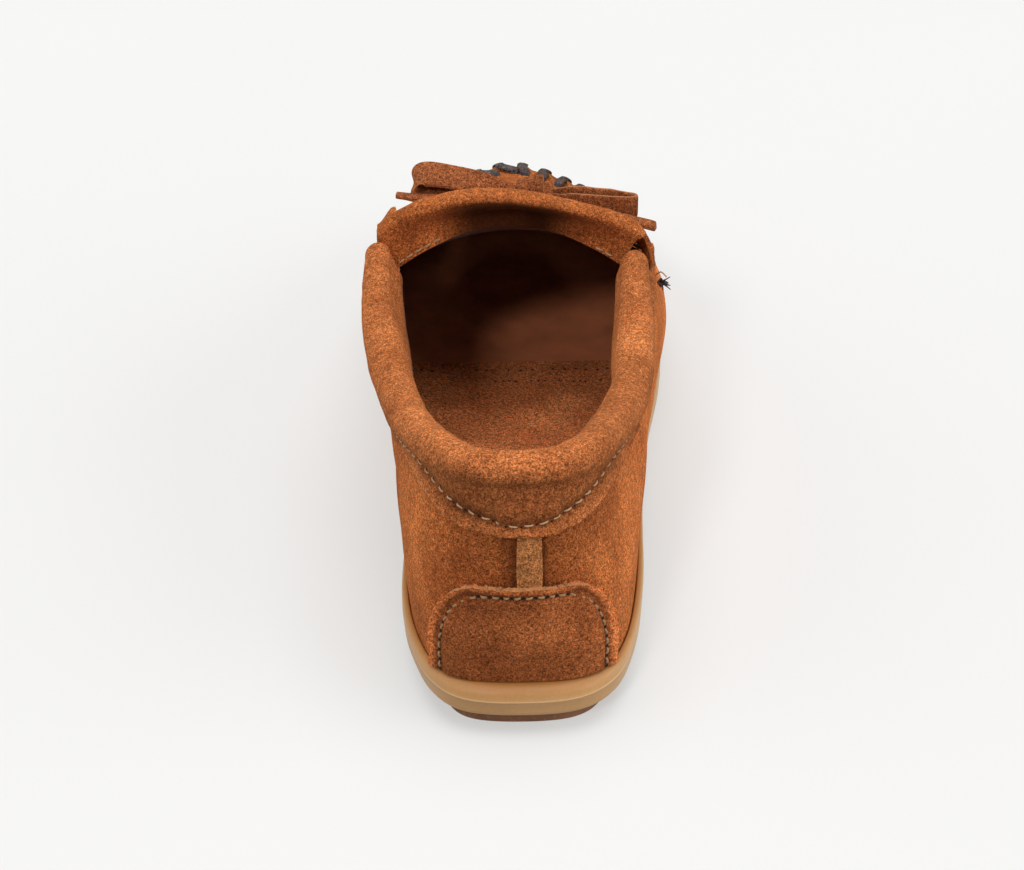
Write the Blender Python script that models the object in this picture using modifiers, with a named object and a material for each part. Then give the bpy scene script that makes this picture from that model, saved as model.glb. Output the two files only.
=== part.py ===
"""A right-foot kiltie moccasin: suede upper, rolled collar, fringed kiltie with a bow, rubber cupsole.

The frame is in metres with +Z up. +Y points to the toe and +X to the outer side of the foot. The origin
is on the floor under the middle of the heel. Lengths in this file are in millimetres until the last step.
"""
import math

import bmesh
import bpy
from mathutils import Matrix, Vector

MM = 0.001

# Leather and clearances
GAP = 0.3
SUEDE = 1.4
STRIP_SUEDE = 1.0
THREAD = 0.45

# Sole stack, measured up from the underside of the rubber
LIFT_HEIGHT = 5.2
HEEL_RISE = LIFT_HEIGHT + GAP
WELL_FLOOR = 4.5
RIM_TOP = 8.0
LIFT_INSET = 4.6
BREAST_Y = 42.0
BALL_START_Y = 92.0
TOE_SPRING_Y = 165.0
TOE_SPRING = 6.0
TOE_END_Y = 221.0
BOARD = 1.2
FOAM = 1.5
SOCK = 1.0
HALF_SOCK_END = 9.1

# Ribs of the upper, from the heel seam (0) along each side to the toe (15). A place on the upper is a
# rib number going round: 0 to 15 on the outer side, then 15 to 30 back along the inner side.
RIB_COUNT = 30
TOE_RIB = RIB_COUNT // 2
# Where the upper meets the sole: y, outer x, inner x
FEATHER_LINE = (
    (-29.8, 0.0, 0.0),
    (-28.9, 12.0, -12.2),
    (-24.8, 19.8, -19.4),
    (-15.5, 24.2, -23.8),
    (-3.0, 26.9, -26.6),
    (14.0, 28.9, -27.7),
    (35.0, 30.2, -26.8),
    (60.0, 32.0, -26.6),
    (85.0, 35.2, -29.2),
    (110.0, 39.2, -33.8),
    (135.0, 41.0, -38.0),
    (160.0, 38.8, -38.9),
    (182.0, 33.0, -35.6),
    (202.0, 23.0, -27.2),
    (214.5, 10.0, -14.2),
    (217.6, -2.0, -2.0),
)
# Top edge of the wrap, under the collar and then along the plug seam: outer x, y, z, inner x, y, z
TOP_EDGE = (
    (-0.5, -25.6, 58.0, -0.5, -25.6, 58.0),
    (10.2, -22.8, 58.0, -11.8, -22.6, 58.0),
    (17.2, -14.5, 57.2, -19.0, -13.5, 57.4),
    (21.2, -4.5, 55.6, -23.4, -4.0, 56.0),
    (24.2, 6.0, 54.0, -26.6, 6.0, 54.4),
    (27.2, 18.0, 52.2, -29.2, 18.0, 52.8),
    (30.2, 35.0, 51.0, -31.8, 35.0, 51.6),
    (33.0, 58.0, 51.8, -35.3, 58.0, 52.8),
    (35.6, 81.0, 54.6, -38.2, 81.0, 56.0),
    (37.8, 107.0, 45.5, -38.0, 107.0, 46.5),
    (37.0, 130.0, 39.8, -37.0, 131.0, 40.8),
    (33.5, 154.0, 35.8, -34.3, 153.0, 36.8),
    (26.5, 174.0, 33.2, -27.8, 173.0, 34.0),
    (17.0, 187.5, 32.4, -18.5, 186.5, 32.8),
    (7.5, 194.5, 33.2, -9.5, 194.0, 33.2),
    (-1.0, 196.5, 34.0, -1.0, 196.5, 34.0),
)
# How far the wrap bulges out between those two lines, and how far the rubber's rim stands out from the
# feather line: bulge on the outer side, bulge on the inner side, rim
BULGE_AND_RIM = (
    (1.9, 1.9, 5.0),
    (1.8, 1.8, 4.4),
    (1.6, 1.6, 2.4),
    (1.6, 1.6, 1.8),
    (1.8, 1.4, 1.8),
    (1.3, 0.9, 1.6),
    (2.0, 1.2, 1.4),
    (2.6, 2.0, 1.4),
    (3.6, 3.4, 1.7),
    (4.2, 4.2, 2.2),
    (4.6, 4.6, 2.6),
    (4.8, 4.8, 2.8),
    (5.0, 5.0, 3.0),
    (5.4, 5.4, 3.2),
    (5.8, 5.8, 3.3),
    (6.0, 6.0, 3.4),
)

# Middle of the collar's roll: outer x, y, z, inner x, y, z
COLLAR_LINE = (
    (-1.0, -21.6, 65.0, -1.0, -21.6, 65.0),
    (8.6, -18.9, 64.2, -10.6, -18.7, 64.3),
    (16.0, -9.6, 62.0, -17.8, -9.2, 62.2),
    (20.4, 2.0, 59.4, -22.4, 1.5, 59.8),
    (24.2, 14.5, 57.0, -26.4, 14.0, 57.5),
    (27.4, 28.0, 55.6, -29.4, 28.0, 56.0),
    (29.2, 43.0, 55.2, -32.4, 43.0, 55.7),
    (30.3, 57.0, 56.3, -34.8, 57.0, 57.0),
    (31.0, 71.0, 58.8, -36.0, 71.0, 59.6),
    (31.4, 83.0, 61.2, -36.1, 83.0, 62.6),
)
COLLAR_ENDS = len(COLLAR_LINE) - 1
ROLL_RADIUS = 5.0
ROLL_END_RADIUS = 3.4
COLLAR_DROP = 12.5
COLLAR_SIDE_DROP = 5.6
COLLAR_INNER_DROP = 17.0
PADDING_GAP = 0.95
ANKLE_Y = 30.0

# Plug, tongue and kiltie
THROAT_RIB = 8.3
PLUG_CROWN = 15.5
PLUG_CROWN_POWER = 0.9
TONGUE_Y = 86.6
TONGUE_BELOW_FOLD = 4.2
TONGUE_FOOT_X = (-31.0, 29.0)
TONGUE_FLARE = (-4.4, 4.4)
FOLD_X = (-36.8, -34.2, -25.8, -16.8, -10.2, -1.1, 6.8, 15.9, 25.2, 32.4, 37.3)
FOLD_Z = (67.6, 71.5, 76.3, 78.7, 79.5, 79.4, 78.0, 75.8, 72.7, 69.1, 62.5)
HINGE_Y = 88.0
HINGE_Z = 76.0
FLAP_START_Y = 88.2
FLAP_X = (-35.5, 36.5)
FLAP_SPREAD = 0.1
FLAP_LENGTH = 38.0
FLAP_FALL = 9.0
FLAP_LIFT = 2.8
FLAP_EDGE_LIFT = 3.2
STRIP_COUNT = 11
SLIT = 0.7
SLIT_START = 0.36
THROAT_STITCH_X = (-28.0, 26.5)

# Heel overlays: x and z on the back of the heel
STRIP_X = 1.7
STRIP_HALF_WIDTH = 2.7
PATCH_BOTTOM_Z = 14.0
PATCH_TOP_Z = 39.4
PATCH_HALF_WIDTH = 19.9
PATCH_CORNER = 12.0
PATCH_STITCH_INSET = 2.6
COUNTER_TOP_Z = 46.0
COUNTER_FOOT_Z = 18.9
COUNTER_RIBS = 4.6
COUNTER_THICKNESS = 1.0
COUNTER_END_FALL = 10.0
PATCH_X = 0.2

# Bow
KNOT = (4.2, 100.0, 72.4)
KNOT_SIZE = (8.6, 6.4, 5.4)
BOW_THICKNESS = 1.3
LEFT_LOOP_X = -0.7
RIGHT_LOOP_X = 9.1
LOOP_SWING = 2.1
LOOP_FORWARD = 0.4
# Far end's x, rise above the knot, lace width, the way the loop opens, and the way across the lace
LEFT_LOOP = (-27.0, 3.6, 7.4, (0.0, -0.41, 0.91), (0.0, 0.91, 0.41))
RIGHT_LOOP = (33.2, -2.6, 6.4, (0.0, 1.0, 0.0), (0.0, 0.0, 1.0))
TAIL_WIDTH = 3.8
TAIL_ACROSS = (0.0, 0.2, 1.0)
LEFT_TAIL = ((-0.9, 95.2, 74.8), (-8.0, 94.7, 74.9), (-17.0, 94.3, 74.6), (-25.0, 94.3, 74.0),
             (-31.5, 94.8, 73.4))
RIGHT_TAIL = ((9.3, 95.4, 72.6), (15.0, 95.0, 72.0), (22.0, 94.8, 70.4), (30.0, 94.6, 68.0),
              (38.0, 95.2, 65.0))

# Whip lace over the seam between the plug and the wrap
WHIP_PITCH = 7.0
WHIP_RADIUS = 0.8
WHIP_LIFT = 1.9
WHIP_WALL_HEIGHT = 0.93
WHIP_PLUG_REACH = 3.5


def smooth(low, high, value):
    """Ramp from 0 at low to 1 at high with level ends."""
    ratio = min(max((value - low) / (high - low), 0.0), 1.0)
    return ratio * ratio * (3.0 - 2.0 * ratio)


def spline(points, place, closed):
    """Catmull-Rom curve through the points, at a fractional index."""
    last = len(points) if closed else len(points) - 1
    place = place % last if closed else min(max(place, 0.0), last - 1e-9)
    index = int(place)
    ratio = place - index

    def pick(offset):
        at = index + offset
        return points[at % last] if closed else points[min(max(at, 0), last)]

    a, b, c, d = (Vector(pick(offset)) for offset in (-1, 0, 1, 2))
    return 0.5 * (2 * b + (c - a) * ratio + (2 * a - 5 * b + 4 * c - d) * ratio ** 2
                  + (3 * b - a - 3 * c + d) * ratio ** 3)


def table_value(xs, values, x):
    """Straight-line reading between the points of a table, level beyond its ends."""
    for left in range(len(xs) - 1):
        if x <= xs[left + 1]:
            ratio = max((x - xs[left]) / (xs[left + 1] - xs[left]), 0.0)
            return values[left] + ratio * (values[left + 1] - values[left])
    return values[-1]


def both_sides(table):
    """Split a table's rows into its outer points and its inner points."""
    outer = [Vector(row[:3]) for row in table]
    inner = [Vector(row[3:]) for row in table]
    return outer, inner


FEATHER_RING = [(outer, y) for y, outer, _ in FEATHER_LINE]
FEATHER_RING += [(inner, y) for y, _, inner in reversed(FEATHER_LINE[1:-1])]
TOP_OUTER, TOP_INNER = both_sides(TOP_EDGE)
TOP_RING = TOP_OUTER + TOP_INNER[-2:0:-1]
BULGE_RIM_RING = [(outer, rim) for outer, _, rim in BULGE_AND_RIM]
BULGE_RIM_RING += [(inner, rim) for _, inner, rim in reversed(BULGE_AND_RIM[1:-1])]
COLLAR_OUTER, COLLAR_INNER = both_sides(COLLAR_LINE)
COLLAR_PATH = COLLAR_INNER[:0:-1] + COLLAR_OUTER


def underside(y):
    """Height of the rubber's underside: up on the lift, down to the ball, and sprung at the toe."""
    heel = HEEL_RISE * (1.0 - smooth(BREAST_Y, BALL_START_Y, y))
    toe = TOE_SPRING * max((y - TOE_SPRING_Y) / (TOE_END_Y - TOE_SPRING_Y), 0.0) ** 2
    return heel + toe


def feather(rib, out=0.0):
    """Plan point of the feather line at a rib, moved outward."""
    here = spline(FEATHER_RING, rib, True)
    along = spline(FEATHER_RING, rib + 0.02, True) - spline(FEATHER_RING, rib - 0.02, True)
    normal = Vector((along.y, -along.x)).normalized()
    return here + normal * out, normal


def wall_point(rib, height):
    """Point on the wrap's outer face: height 0 at the feather line, 1 at the top edge."""
    plan, normal = feather(rib)
    base = Vector((plan.x, plan.y, underside(plan.y) + RIM_TOP))
    top = spline(TOP_RING, rib, True)
    bulge = spline(BULGE_RIM_RING, rib, True)[0]
    control = (base + top) / 2 + Vector((normal.x, normal.y, 0.0)) * 2.0 * bulge
    return base * (1 - height) ** 2 + control * 2 * height * (1 - height) + top * height ** 2


def wall(rib, height, out=0.0):
    """Point on the wrap, moved outward along the surface normal."""
    step = 0.01
    around = wall_point(rib + step, height) - wall_point(rib - step, height)
    upward = wall_point(rib, height + step) - wall_point(rib, height - step)
    return wall_point(rib, height) + around.cross(upward).normalized() * out


def height_for(rib, z):
    """Height value at which the wrap reaches z on this rib."""
    low, high = -0.5, 1.3
    for _ in range(30):
        middle = (low + high) / 2
        low, high = (middle, high) if wall_point(rib, middle).z < z else (low, middle)
    return low


def heel_place(x, z, out):
    """Point on the back of the heel with the given x and z, moved outward."""
    low, high = -4.0, 4.0
    for _ in range(30):
        middle = (low + high) / 2
        low, high = (middle, high) if wall_point(middle, height_for(middle, z)).x < x else (low, middle)
    return wall(low, height_for(low, z), out)


def seam(rib):
    """Point of the plug's seam on the wrap's top edge, and the outward direction there."""
    here = wall_point(rib, 1.0)
    return here, (wall(rib, 1.0, 1.0) - here)


def plug_crown(y):
    """Rise of the plug's middle above its seams."""
    throat_y, toe_y = TONGUE_Y + 2.0, TOP_EDGE[-1][1]
    return PLUG_CROWN * max((toe_y - y) / (toe_y - throat_y), 0.0) ** PLUG_CROWN_POWER


def plug_height(x, y):
    """Top of the plug over a plan point, carried on past its seams."""
    low, high = THROAT_RIB - 1.0, TOE_RIB - 0.3
    for _ in range(24):
        middle = (low + high) / 2
        low, high = (middle, high) if wall_point(middle, 1.0).y < y else (low, middle)
    outer, inner = wall_point(low, 1.0), wall_point(RIB_COUNT - low, 1.0)
    across = 2.0 * (x - inner.x) / (outer.x - inner.x) - 1.0
    edge = inner.z + (outer.z - inner.z) * (across + 1.0) / 2
    return edge + plug_crown(y) * (1.0 - across * across)


def fold_height(x):
    """Height of the kiltie's fold."""
    return table_value(FOLD_X, FOLD_Z, x)


def collar_frame(place):
    """Middle of the roll, the direction outward from the opening, and how near the end it is, 0 to 1."""
    here = spline(COLLAR_PATH, place, False)
    ahead = spline(COLLAR_PATH, min(place + 0.05, 2 * COLLAR_ENDS), False)
    along = ahead - spline(COLLAR_PATH, max(place - 0.05, 0.0), False)
    outward = Vector((along.y, -along.x, 0.0)).normalized()
    return here, outward, abs(place - COLLAR_ENDS) / COLLAR_ENDS


def nearest_rib(point, start):
    """Rib whose outward line at this height passes through a plan point."""
    best = start
    step = 1.0
    while step > 0.002:
        choices = (best - step, best, best + step)
        rib = min(choices, key=lambda value: (wall_point(value, 0.9).xy - point.xy).length)
        step = step / 2 if rib == best else step
        best = rib
    return best


# ---- Blender objects ----

def material(name, colour, roughness, metallic=0.0):
    made = bpy.data.materials.new(name)
    made.use_nodes = True
    shader = made.node_tree.nodes["Principled BSDF"]
    shader.inputs["Base Color"].default_value = (*colour, 1.0)
    shader.inputs["Roughness"].default_value = roughness
    shader.inputs["Metallic"].default_value = metallic
    made.diffuse_color = (*colour, 1.0)
    return made


def add_object(name, mesh, finish, group="parts"):
    made = bpy.data.objects.new(name, mesh)
    made.data.materials.append(finish)
    COLLECTIONS[group].objects.link(made)
    return made


def loft(name, rows, finish, closed_row=False, capped=False, group="parts"):
    """Skin rows of points, each as long as the next; a closed row makes a tube, which may be capped."""
    count = len(rows[0])
    points = [Vector(point) * MM for row in rows for point in row]
    faces = []
    for row in range(len(rows) - 1):
        for column in range(count if closed_row else count - 1):
            after = (column + 1) % count
            faces.append((row * count + column, (row + 1) * count + column,
                          (row + 1) * count + after, row * count + after))
    if capped:
        last = (len(rows) - 1) * count
        faces.append(tuple(range(count)))
        faces.append(tuple(last + column for column in reversed(range(count))))
    mesh = bpy.data.meshes.new(name)
    mesh.from_pydata(points, [], faces)
    mesh.validate()
    if capped:
        shape = bmesh.new()
        shape.from_mesh(mesh)
        bmesh.ops.recalc_face_normals(shape, faces=shape.faces)
        shape.to_mesh(mesh)
        shape.free()
    mesh.shade_smooth()
    return add_object(name, mesh, finish, group)


def thicken(target, thickness, inward=True):
    """Give an open surface its thickness: behind its faces, or in front of them."""
    modifier = target.modifiers.new("thickness", "SOLIDIFY")
    modifier.thickness = thickness * MM
    modifier.offset = -1.0 if inward else 1.0
    modifier.use_even_offset = True
    modifier.thickness_clamp = 0.0
    return target


def plate(name, finish, inset, bottom, thickness, first, last, steps, group="parts"):
    """Flat layer of the sole stack, inside the feather line, from one rib to another."""
    rows = []
    for step in range(steps + 1):
        rib = first + (last - first) * step / steps
        outer, inner = feather(rib, -inset)[0], feather(RIB_COUNT - rib, -inset)[0]
        row = [outer.lerp(inner, across / 2) for across in range(3)]
        rows.append([(point.x, point.y, bottom(point.y)) for point in row])
    return thicken(loft(name, rows, finish, group=group), thickness, inward=True)


def tube(name, points, radius, finish, closed=False):
    """Thread or lace: a poly curve with a round section and filled caps."""
    curve = bpy.data.curves.new(name, "CURVE")
    curve.dimensions = "3D"
    curve.bevel_depth = radius * MM
    curve.bevel_resolution = 1
    curve.use_fill_caps = not closed
    line = curve.splines.new("POLY")
    line.points.add(len(points) - 1)
    for control, point in zip(line.points, points):
        control.co = (*(Vector(point) * MM), 1.0)
    line.use_cyclic_u = closed
    return add_object(name, curve, finish)


def ribbon(name, middles, side, width, thickness, finish):
    """Flat lace laid along a line, its width along one direction."""
    side = Vector(side).normalized()
    half = width / 2
    rows = [[Vector(point) - side * half, Vector(point), Vector(point) + side * half] for point in middles]
    made = thicken(loft(name, rows, finish), thickness)
    made.modifiers["thickness"].offset = 0.0
    return made


def bevel(target, width, segments, angle=40.0):
    modifier = target.modifiers.new("rounding", "BEVEL")
    modifier.width = width * MM
    modifier.segments = segments
    modifier.limit_method = "ANGLE"
    modifier.angle_limit = math.radians(angle)
    return target


def cut(target, cutter):
    modifier = target.modifiers.new("cut", "BOOLEAN")
    modifier.operation = "DIFFERENCE"
    modifier.object = cutter
    cutter.hide_render = True
    cutter.display_type = "WIRE"


# ---- sole ----

def rim(rib, inset=0.0):
    """Plan point on the outline of the rubber at a rib, moved inward."""
    return feather(rib, spline(BULGE_RIM_RING, rib, True)[1] - inset)[0]


def make_outsole(rubber):
    """Cupsole: a rounded slab with a well that the upper sits in."""
    steps = 44
    rows = []
    for step in range(steps + 1):
        rib = 0.22 + (TOE_RIB - 0.44) * step / steps
        row = []
        for place in (rib, RIB_COUNT - rib):
            edge = rim(place)
            row.append((edge.x, edge.y, underside(edge.y) + RIM_TOP))
        rows.append(row)
    slab = thicken(loft("outsole", rows, rubber), RIM_TOP)
    bevel(slab, 2.2, 3)
    well = plate("sole_well", rubber, -GAP, lambda y: underside(y) + RIM_TOP + 3.0,
                 RIM_TOP + 3.0 - WELL_FLOOR, 0.2, TOE_RIB - 0.2, 44, "cutters")
    cut(slab, well)
    return slab


def make_heel_lift(rubber):
    rows = []
    steps = 18
    for step in range(steps + 1):
        rib = 0.3 + (6.2 - 0.3) * step / steps
        outer, inner = rim(rib, LIFT_INSET), rim(RIB_COUNT - rib, LIFT_INSET)
        rows.append([(outer.x, outer.y, LIFT_HEIGHT), (inner.x, inner.y, LIFT_HEIGHT)])
    return thicken(loft("heel_lift", rows, rubber), LIFT_HEIGHT)


def make_insole(board, foam, suede):
    """Board, foam and half-length suede sock, stacked in the well above the wrap's turned-in edge."""
    inset = SUEDE + GAP + 0.3
    board_top = WELL_FLOOR + GAP + SUEDE + GAP + BOARD
    foam_top = board_top + GAP + FOAM
    sock_top = foam_top + GAP + SOCK
    plate("insole_board", board, inset, lambda y: underside(y) + board_top, BOARD, 0.3, TOE_RIB - 0.35, 30)
    plate("insole_foam", foam, inset, lambda y: underside(y) + foam_top, FOAM, 0.3, TOE_RIB - 0.35, 30)
    plate("half_sock", suede, inset + 0.4, lambda y: underside(y) + sock_top, SOCK, 0.3, HALF_SOCK_END, 20)


# ---- upper ----

def make_wrap(suede):
    """One suede wall from the heel seam round the toe and back, with its lower edge turned in."""
    steps = 88
    seam_gap = 0.02
    heights = (0.0, 0.2, 0.4, 0.6, 0.8, 1.0)
    rows = []
    for step in range(steps + 1):
        rib = seam_gap + (RIB_COUNT - 2 * seam_gap) * step / steps
        foot = wall_point(rib, 0.0)
        floor = underside(foot.y) + WELL_FLOOR + GAP
        turned = feather(rib, -9.0)[0]
        row = [(turned.x, turned.y, underside(turned.y) + WELL_FLOOR + GAP), (foot.x, foot.y, floor)]
        row += [wall_point(rib, height) for height in heights]
        rows.append(row)
    return thicken(loft("wrap_upper", rows, suede), SUEDE)


def make_counter(board):
    """Stiff cup between the wrap and the collar's inner facing."""
    rows = []
    for step in range(23):
        rib = COUNTER_RIBS * (step / 11 - 1.0)
        fall = COUNTER_END_FALL * smooth(2.5, COUNTER_RIBS, abs(rib))
        rise = COUNTER_TOP_Z - fall - COUNTER_FOOT_Z
        rows.append([wall(rib, height_for(rib, COUNTER_FOOT_Z + rise * part / 4), -SUEDE - GAP)
                     for part in range(5)])
    return thicken(loft("heel_counter", rows, board), COUNTER_THICKNESS)


def over_strip(x, margin=0.4):
    """Extra height where an overlay passes over the heel strip, held level for a margin past its edges."""
    level = STRIP_HALF_WIDTH + margin
    return (STRIP_SUEDE + GAP) * (1.0 - smooth(level, level + 3.0, abs(x - STRIP_X)))


def make_heel_strip(suede):
    rows = []
    for step in range(25):
        z = PATCH_BOTTOM_Z + 0.4 + (53.5 - PATCH_BOTTOM_Z) * step / 24
        rows.append([heel_place(STRIP_X + across * STRIP_HALF_WIDTH, z, GAP + STRIP_SUEDE)
                     for across in (1.0, 0.0, -1.0)])
    return thicken(loft("heel_strip", rows, suede), STRIP_SUEDE)


def patch_half_width(z, inset=0.0):
    """Half width of the heel patch at a height, with its upper corners rounded."""
    half, top = PATCH_HALF_WIDTH - inset, PATCH_TOP_Z - inset
    corner = PATCH_CORNER - inset
    below = max(z - (top - corner), 0.0) / corner
    return half - corner * (1.0 - math.sqrt(max(1.0 - below * below, 0.0)))


def make_heel_patch(suede):
    rows = []
    levels = 14
    for step in range(levels + 1):
        z = PATCH_BOTTOM_Z + (PATCH_TOP_Z - PATCH_BOTTOM_Z) * math.sin(step / levels * math.pi / 2)
        half = patch_half_width(z)
        xs = [half * across / 7 for across in range(7, -8, -1)]
        rows.append([heel_place(x + PATCH_X, z, GAP + SUEDE + over_strip(x + PATCH_X)) for x in xs])
    return thicken(loft("heel_patch", rows, suede), SUEDE)


def make_patch_stitching(thread):
    """Thread up one side of the patch, across its top and down the other side."""
    out = GAP + SUEDE + GAP + THREAD
    top = PATCH_TOP_Z - PATCH_STITCH_INSET
    foot = PATCH_BOTTOM_Z + 1.0
    heights = [foot + (top - foot) * math.sin(step / 14 * math.pi / 2) for step in range(15)]
    side = [(patch_half_width(z, PATCH_STITCH_INSET), z) for z in heights]
    flat = side[-1][0]
    line = list(side)
    line += [(flat * (1.0 - step / 6), top) for step in range(1, 12)]
    line += [(-x, z) for x, z in reversed(side)]
    tube("heel_patch_stitching",
         [heel_place(x + PATCH_X, z, out + over_strip(x + PATCH_X)) for x, z in line], THREAD, thread)


def roll_radius(nearness):
    """Radius of the collar's roll, smaller toward its two ends."""
    return ROLL_RADIUS + (ROLL_END_RADIUS - ROLL_RADIUS) * smooth(0.62, 1.0, nearness)


def collar_drop(nearness):
    """How far the collar's raw edge hangs below the roll: deep at the heel, shallow along the sides."""
    return COLLAR_DROP - (COLLAR_DROP - COLLAR_SIDE_DROP) * smooth(0.04, 0.33, nearness)


def collar_section(place):
    """The collar's outer face from its raw lower edge, up over the roll and down inside the opening."""
    middle, outward, nearness = collar_frame(place)
    radius = roll_radius(nearness)
    up = Vector((0.0, 0.0, 1.0))
    rib = nearest_rib(middle, (place - COLLAR_ENDS) * 8.0 / COLLAR_ENDS)
    section = []
    deepest = collar_drop(nearness)
    for drop in (deepest, deepest * 0.66):
        leg = wall(rib, height_for(rib, middle.z - drop), GAP + SUEDE)
        section.append(leg + (leg - wall(rib, height_for(rib, middle.z - drop), 0.0)).normalized()
                       * over_strip(leg.x, 3.0) * (1.0 - smooth(0.2, 0.4, nearness)))
    for turn in range(-20, 181, 25):
        angle = math.radians(turn)
        section.append(middle + outward * radius * math.cos(angle) + up * radius * math.sin(angle))
    inward = -SUEDE - GAP - COUNTER_THICKNESS - GAP - SUEDE - GAP
    inner_foot = wall(rib, height_for(rib, middle.z - COLLAR_INNER_DROP), inward)
    hip = middle - outward * radius * 0.98 - up * 4.0
    section.append(hip)
    section.append(hip.lerp(inner_foot, 0.55))
    section.append(inner_foot)
    return section


def collar_rows(steps, margin):
    span = 2 * COLLAR_ENDS - 2 * margin
    return [collar_section(margin + span * step / steps) for step in range(steps + 1)]


def make_collar(suede, foam, thread):
    """Padded collar: a suede roll over a foam core, sewn down near its outer edge."""
    thicken(loft("collar", collar_rows(54, 0.0), suede), SUEDE)
    rows = []
    for step in range(41):
        middle, outward, nearness = collar_frame(0.25 + (2 * COLLAR_ENDS - 0.5) * step / 40)
        radius = roll_radius(nearness) - SUEDE - PADDING_GAP
        rows.append([middle + outward * radius * math.cos(angle)
                     + Vector((0.0, 0.0, radius * math.sin(angle)))
                     for angle in [2 * math.pi * side / 8 for side in range(8)]])
    loft("collar_padding", rows, foam, closed_row=True, capped=True)
    line = []
    for row in collar_rows(60, 0.3):
        middle = row[0].lerp(row[1], 0.62)
        side = Vector((middle.x, middle.y - ANKLE_Y, 0.0)).normalized()
        line.append(middle + side * (GAP + THREAD + 0.25))
    tube("collar_stitching", line, THREAD, thread)


# ---- plug, lace seam and kiltie ----

def make_plug(suede):
    """Top of the forefoot, arched between its seams, from the throat to the toe."""
    rows = []
    for step in range(31):
        rib = THROAT_RIB + (TOE_RIB - 0.45 - THROAT_RIB) * math.sin(step / 30 * math.pi / 2)
        ends = []
        for place in (RIB_COUNT - rib, rib):
            edge, out = seam(place)
            level = Vector((out.x, out.y, 0.0))
            ends.append(edge - level.normalized() * (SUEDE * level.length + 0.6))
        inner, outer = ends
        row = []
        for column in range(11):
            across = column / 5 - 1.0
            point = outer.lerp(inner, column / 10)
            point.z += plug_crown(point.y) * (1.0 - across * across)
            row.append(point)
        rows.append(row)
    return thicken(loft("plug", rows, suede), SUEDE)


def make_whip_lace(lace):
    """Lace that whips the plug to the wrap, crossing the seam at each stitch."""
    first, last = THROAT_RIB + 0.1, RIB_COUNT - THROAT_RIB - 0.1
    ribs = [first + (last - first) * step / 400 for step in range(401)]
    points = [seam(rib)[0] for rib in ribs]
    line = []
    travelled = 0.0
    for before, after, rib in zip(points, points[1:], ribs):
        travelled += (after - before).length
        if travelled < len(line) * WHIP_PITCH / 4:
            continue
        edge, out = seam(rib)
        level = Vector((out.x, out.y, 0.0))
        across = edge - level.normalized() * WHIP_PLUG_REACH
        across.z = max(plug_height(across.x, across.y), edge.z) + WHIP_LIFT
        crossing = edge + level * 0.9 + Vector((0.0, 0.0, WHIP_LIFT + 0.9))
        turns = (wall(rib, WHIP_WALL_HEIGHT, WHIP_LIFT + 0.6), crossing, across, crossing)
        line.append(turns[len(line) % 4])
    tube("whip_lace", line, WHIP_RADIUS, lace)


def make_tongue(suede, thread):
    """Band that stands up from the throat seam to the kiltie's fold."""
    rows = []
    for step in range(7):
        rise = step / 6
        row = []
        left, right = (foot + flare * rise for foot, flare in zip(TONGUE_FOOT_X, TONGUE_FLARE))
        for column in range(25):
            x = left + (right - left) * column / 24
            low = plug_height(x, TONGUE_Y + 2.0) - 2.5
            high = fold_height(x) - TONGUE_BELOW_FOLD
            row.append((x, TONGUE_Y - 1.0 * math.sin(math.pi * rise), low + (high - low) * rise))
        rows.append(row)
    thicken(loft("kiltie_tongue", rows, suede), SUEDE, inward=True)
    line = []
    for column in range(33):
        x = THROAT_STITCH_X[0] + (THROAT_STITCH_X[1] - THROAT_STITCH_X[0]) * column / 32
        line.append((x, TONGUE_Y - SUEDE - GAP - THREAD - 1.0, plug_height(x, TONGUE_Y + 2.0) + 0.6))
    tube("throat_stitching", line, THREAD, thread)


def flap_point(x, forward):
    """Kiltie flap over the plug: forward 0 at the fold, 1 at the fringe tips."""
    y = FLAP_START_Y + FLAP_LENGTH * forward
    spread = x * (1.0 + FLAP_SPREAD * forward)
    lift = FLAP_LIFT + FLAP_EDGE_LIFT * smooth(22.0, 32.0, abs(x))
    rest = plug_height(spread, y) + lift
    start = fold_height(x) - plug_height(x, FLAP_START_Y) - lift
    fall = math.exp(-(y - FLAP_START_Y) / FLAP_FALL) * (1.0 - 0.3 * forward)
    return Vector((spread, y, rest + start * fall))


def make_flap(suede):
    """Kiltie flap, cut into a fringe along its front edge."""
    left, right = FLAP_X
    width = (right - left) / STRIP_COUNT
    xs = []
    slits = []
    for strip in range(STRIP_COUNT):
        start = left + width * strip
        xs += [start + (SLIT / 2 if strip else 0.0), start + width / 2]
        xs.append(start + width - (SLIT / 2 if strip < STRIP_COUNT - 1 else 0.0))
        if strip < STRIP_COUNT - 1:
            slits.append(len(xs) - 1)
    forwards = [0.0, 0.06, 0.12, 0.2, 0.28, SLIT_START, 0.48, 0.61, 0.74, 0.87, 1.0]
    points = [flap_point(x, forward) * MM for forward in forwards for x in xs]
    faces = []
    for row in range(len(forwards) - 1):
        for column in range(len(xs) - 1):
            if column in slits and forwards[row] >= SLIT_START:
                continue
            first = row * len(xs) + column
            faces.append((first, first + 1, first + 1 + len(xs), first + len(xs)))
    mesh = bpy.data.meshes.new("kiltie_flap")
    mesh.from_pydata(points, [], faces)
    mesh.shade_smooth()
    return thicken(add_object("kiltie_flap", mesh, suede), SUEDE, inward=True)


def loop_line(start_x, far_x, far_rise, swing):
    """Bow loop: out from the knot and back, its two strands held apart along the swing direction."""
    line = []
    for step in range(1, 20):
        angle = 2 * math.pi * step / 20
        along = (1.0 - math.cos(angle)) / 2
        place = Vector((start_x + (far_x - start_x) * along, KNOT[1] + LOOP_FORWARD,
                        KNOT[2] + far_rise * along))
        opening = LOOP_SWING * math.copysign(math.sqrt(abs(math.sin(angle))), math.sin(angle))
        line.append(place + Vector(swing) * opening)
    return line


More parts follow.
